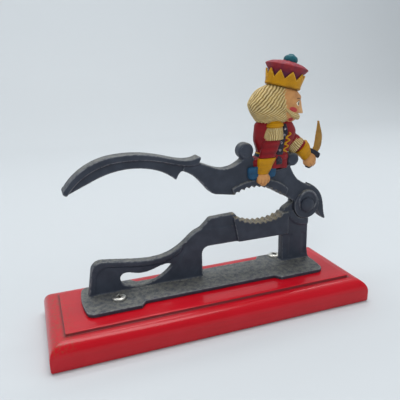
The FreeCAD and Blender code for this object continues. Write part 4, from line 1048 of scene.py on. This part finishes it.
class NUTCRACKER_OT_coat(bpy.types.Operator):
    """Model the coat with its belt, black front strip, buttons and gold cord loops"""
    bl_idname = "nutcracker.coat"
    bl_label = "Coat and trimmings"

    def execute(self, context):
        paints = context.scene.press_paints
        gold = ochre_enamel(paints.gold)
        dark = blue_black_enamel()
        skin, layers = coat_skin(110, 200)
        king_piece("coat_skin", "coat_red", coat_enamel(paints.coat), "king_coat", ((skin, layers), BODY_FRAME))
        king_piece("belt_skin", "navy_paint", belt_enamel(), "king_belt", (belt_skin(12, 200), BODY_FRAME))
        strip = sheet_on(skin, (FRONT_STRIP_LEFT, FRONT_STRIP_RIGHT), 0.75, 70, 16)
        king_piece("front_strip_skin", "navy_paint", dark, "king_placket", ((strip, {}), BODY_FRAME))
        bend = np.linspace(0.0, math.pi / 2, 8)
        buttons = []
        for x, z, radius in BUTTONS:
            y = depth_at(skin, np.array([[x, z]]))[0]
            dome = [(radius, 1.2)] + [(radius * math.cos(a), -math.sin(a)) for a in bend[:-1]]
            points = turned_y(dome, 28, (x, y - 0.7, z))
            # wear and painted highlight: the front of each small dome is painted pale
            wear_and_highlight = (radius < 2.0) * (points[..., 1] < points[..., 1].min() + 0.6)
            buttons.append(((points, {"crest": wear_and_highlight * 1.0}), BODY_FRAME))
        king_piece("buttons_skin", "bronze_paint", button_enamel(), "king_buttons", *buttons)
        drop = np.linspace(0.0, 1.0, 49)
        cords = []
        for start, swing, radius in CORDS:
            wave = np.stack([10.9 - 3.0 * drop + start + swing * np.sin(drop * 2 * math.pi * CORD_WAVES),
                             29.4 - 15.8 * drop], -1)
            route = np.stack([wave[:, 0], depth_at(skin, wave) - 0.3, wave[:, 1]], -1)
            cords.append(((bar(route, radius, 12, 150), {}), BODY_FRAME))
        king_piece("cord_loops_skin", "gold_paint", gold, "king_frogging", *cords)
        return {"FINISHED"}


class NUTCRACKER_OT_arms(bpy.types.Operator):
    """Model both arms: sleeves, cuffs, closed hands, epaulettes and their fringes"""
    bl_idname = "nutcracker.arms"
    bl_label = "Arms and epaulettes"

    def execute(self, context):
        sizes = context.scene.press_sizes
        paints = context.scene.press_paints
        folds = sizes.fold_depth / MM
        red, gold = coat_enamel(paints.coat), ochre_enamel(paints.gold)
        flesh, cream = flesh_enamel(paints.skin), cream_enamel(paints.cream)
        near, far = NEAR_ARM_FRAME, FAR_ARM_FRAME
        sleeve = {"folds": folds, "fold_pitch": 5.0}
        cuff = {"folds": 0.05, "fold_pitch": 6.0}
        pad = {"folds": 0.1, "fold_pitch": 1.6}
        king_piece("right_sleeve_skin", "coat_red", red, "king_right_sleeve",
                   (limb([(10.3, -8.4, 7.0, 4.0), (22.0, -4.6, 7.4, 4.0), (33.0, -2.4, 5.8, 3.6),
                          (37.0, -1.8, 4.0, 2.8)], 80, 96, **sleeve), near))
        king_piece("right_cuff_skin", "gold_paint", gold, "king_right_cuff",
                   (limb([(-2.6, -12.0, 4.9, 3.8), (0.5, -11.1, 5.8, 4.0), (4.0, -10.2, 6.4, 4.2),
                          (8.0, -9.2, 7.4, 4.5), (11.0, -8.4, 7.8, 4.6)], 60, 96, **cuff), near))
        king_piece("right_hand_skin", "skin_paint", flesh, "king_right_hand",
                   (hand_skin([(-12.6, -11.6, 2.6, 2.0), (-9.4, -11.8, 5.4, 3.6), (-5.0, -11.8, 5.8, 3.8),
                               (-1.6, -12.0, 4.4, 3.2)], 60, 96), near))
        king_piece("left_sleeve_skin", "coat_red", red, "king_left_sleeve",
                   (limb([(-17.5, 0.8, 6.2, 5.0), (-8.0, -0.5, 6.8, 5.4), (3.0, -1.0, 6.0, 5.0)], 60, 96,
                         **sleeve), far))
        king_piece("left_cuff_skin", "gold_paint", gold, "king_left_cuff",
                   (limb([(-28.6, -0.8, 4.8, 4.4), (-23.0, 0.8, 6.4, 5.2), (-17.0, 1.2, 7.3, 5.6)], 60, 96,
                         **cuff), far))
        king_piece("left_hand_skin", "skin_paint", flesh, "king_left_hand",
                   (hand_skin([(-39.4, -1.6, 3.0, 2.4), (-36.0, -1.8, 5.4, 4.4), (-31.6, -1.6, 6.0, 4.8),
                               (-27.6, -0.6, 4.6, 4.0)], 60, 96), far))
        king_piece("epaulettes_skin", "gold_paint", gold, "king_epaulettes",
                   (limb([(34.0, -1.6, 6.8, 4.5), (36.0, -1.5, 7.2, 4.8), (38.0, -1.3, 6.0, 4.0),
                          (39.8, -1.2, 3.8, 2.6)], 50, 110, **pad), near),
                   (limb([(-6.6, -1.2, 6.0, 5.2), (-5.6, -1.2, 5.6, 4.9), (-4.6, -1.2, 4.8, 4.4)], 50, 110,
                         **pad), far))
        king_piece("fringes_skin", "cream_paint", cream, "king_epaulette_fringes",
                   (stranded([(24.6, -2.6, 8.0, 5.2), (29.0, -2.4, 7.8, 5.0), (34.6, -1.8, 6.4, 4.1)], 60, 240,
                             sizes.fringe_strands), near),
                   (stranded([(-14.4, -1.2, 8.1, 6.1), (-6.2, -1.2, 6.6, 5.6)], 60, 240,
                             sizes.fringe_strands), far))
        return {"FINISHED"}


class NUTCRACKER_OT_legs(bpy.types.Operator):
    """Model the two legs astride the lever"""
    bl_idname = "nutcracker.legs"
    bl_label = "Legs"

    def execute(self, context):
        leg = limb([(-8.0, -12.0, 9.0, 1.8), (-5.6, -12.0, 12.0, 3.0), (0.0, -11.8, 12.8, 3.0),
                    (4.0, -11.6, 12.4, 3.0)], 60, 110, power=3.0, folds=0.08, fold_pitch=7.0)
        king_piece("legs_skin", "trouser_blue", petrol_enamel(context.scene.press_paints.trousers),
                   "king_trousers", *[(leg, (SEAT + (0.0, aside, 0.0), 0.0)) for aside in (-5.4, 5.4)])
        return {"FINISHED"}


class NUTCRACKER_OT_sword(bpy.types.Operator):
    """Model the curved blade, the cross guard and the pommel"""
    bl_idname = "nutcracker.sword"
    bl_label = "Sword"

    def execute(self, context):
        blade = plate_between([(37.4, 9.4), (41.6, 13.0), (43.4, 24.0), (45.4, 34.8)],
                              [(44.6, 7.0), (48.6, 12.0), (49.8, 22.3), (46.0, 35.2)], 1.6, 90, 24, 1.2)
        guard = plate_between([(35.4, 9.6), (39.2, 7.1), (42.6, 5.0), (45.4, 3.2)],
                              [(37.7, 13.0), (41.2, 11.4), (44.4, 9.6), (47.4, 7.6)], 3.0, 40, 28, 0.5)
        grip = limb([(-3.4, 0.0, 2.2, 2.2), (-0.6, 0.0, 3.4, 3.2), (2.6, 0.0, 2.6, 2.6)], 40, 48)
        king_piece("blade_skin", "bronze_paint", bronze_enamel(), "sword_blade", ((blade, {}), SWORD_FRAME))
        king_piece("hilt_skin", "navy_paint", blue_black_enamel(), "sword_hilt", ((guard, {}), SWORD_FRAME),
                   (grip, GRIP_FRAME))
        return {"FINISHED"}


class NUTCRACKER_OT_stage(bpy.types.Operator):
    """Set the pale floor and backdrop, the soft lights and the photograph's camera"""
    bl_idname = "nutcracker.stage"
    bl_label = "Floor, lights and camera"

    def execute(self, context):
        scene = context.scene
        rows, columns = 31, 60
        reach, share = np.meshgrid(np.linspace(-FLOOR_HALF, FLOOR_HALF, rows), np.linspace(0, 1, columns),
                                   indexing="ij")
        sweep = along(FLOOR_SWEEP, share)
        points = np.stack([reach, sweep[..., 0], np.maximum(sweep[..., 1], 0.0)], -1)
        floor = new_piece("floor", points.reshape(-1, 3), [grid_faces(rows, columns, False, False)])
        floor.data.materials.append(backdrop_paper())
        scene.world = studio_air()
        for name, place, aim, size, power in LAMPS:
            lamp = bpy.data.lights.new(name, "AREA")
            lamp.shape, lamp.size, lamp.size_y, lamp.energy = "RECTANGLE", size[0], size[1], power
            fitting = bpy.data.objects.new(name, lamp)
            scene.collection.objects.link(fitting)
            fitting.visible_glossy = not name.startswith("fill")
            turn = (Vector(aim) - Vector(place)).to_track_quat("-Z", "Y")
            fitting.matrix_world = Matrix.Translation(place) @ turn.to_matrix().to_4x4()
        scene.camera = photo_camera()
        scene.view_settings.view_transform = "Standard"
        return {"FINISHED"}


PIECES = (NUTCRACKER_OT_board, NUTCRACKER_OT_castings, NUTCRACKER_OT_fasteners, NUTCRACKER_OT_head,
          NUTCRACKER_OT_headgear, NUTCRACKER_OT_coat, NUTCRACKER_OT_arms, NUTCRACKER_OT_legs,
          NUTCRACKER_OT_sword, NUTCRACKER_OT_stage)


class NUTCRACKER_PT_pieces(bpy.types.Panel):
    """Sizes, colours and one button for each group of pieces"""
    bl_idname = "NUTCRACKER_PT_pieces"
    bl_label = "Lever nutcracker press"
    bl_space_type = "VIEW_3D"
    bl_region_type = "UI"
    bl_category = "Nutcracker"

    def draw(self, context):
        for group in (context.scene.press_sizes, context.scene.press_paints):
            box = self.layout.box()
            for name in group.__annotations__:
                box.prop(group, name)
        for piece in PIECES:
            self.layout.operator(piece.bl_idname)


CLASSES = (PressSizes, PressPaints, *PIECES, NUTCRACKER_PT_pieces)


def register():
    for part in CLASSES:
        bpy.utils.register_class(part)
    bpy.types.Scene.press_sizes = PointerProperty(type=PressSizes)
    bpy.types.Scene.press_paints = PointerProperty(type=PressPaints)


def unregister():
    del bpy.types.Scene.press_paints
    del bpy.types.Scene.press_sizes
    for part in reversed(CLASSES):
        bpy.utils.unregister_class(part)


def main():
    register()
    for piece in PIECES:
        group, name = piece.bl_idname.split(".")
        getattr(getattr(bpy.ops, group), name)()


if __name__ == "__main__":
    main()
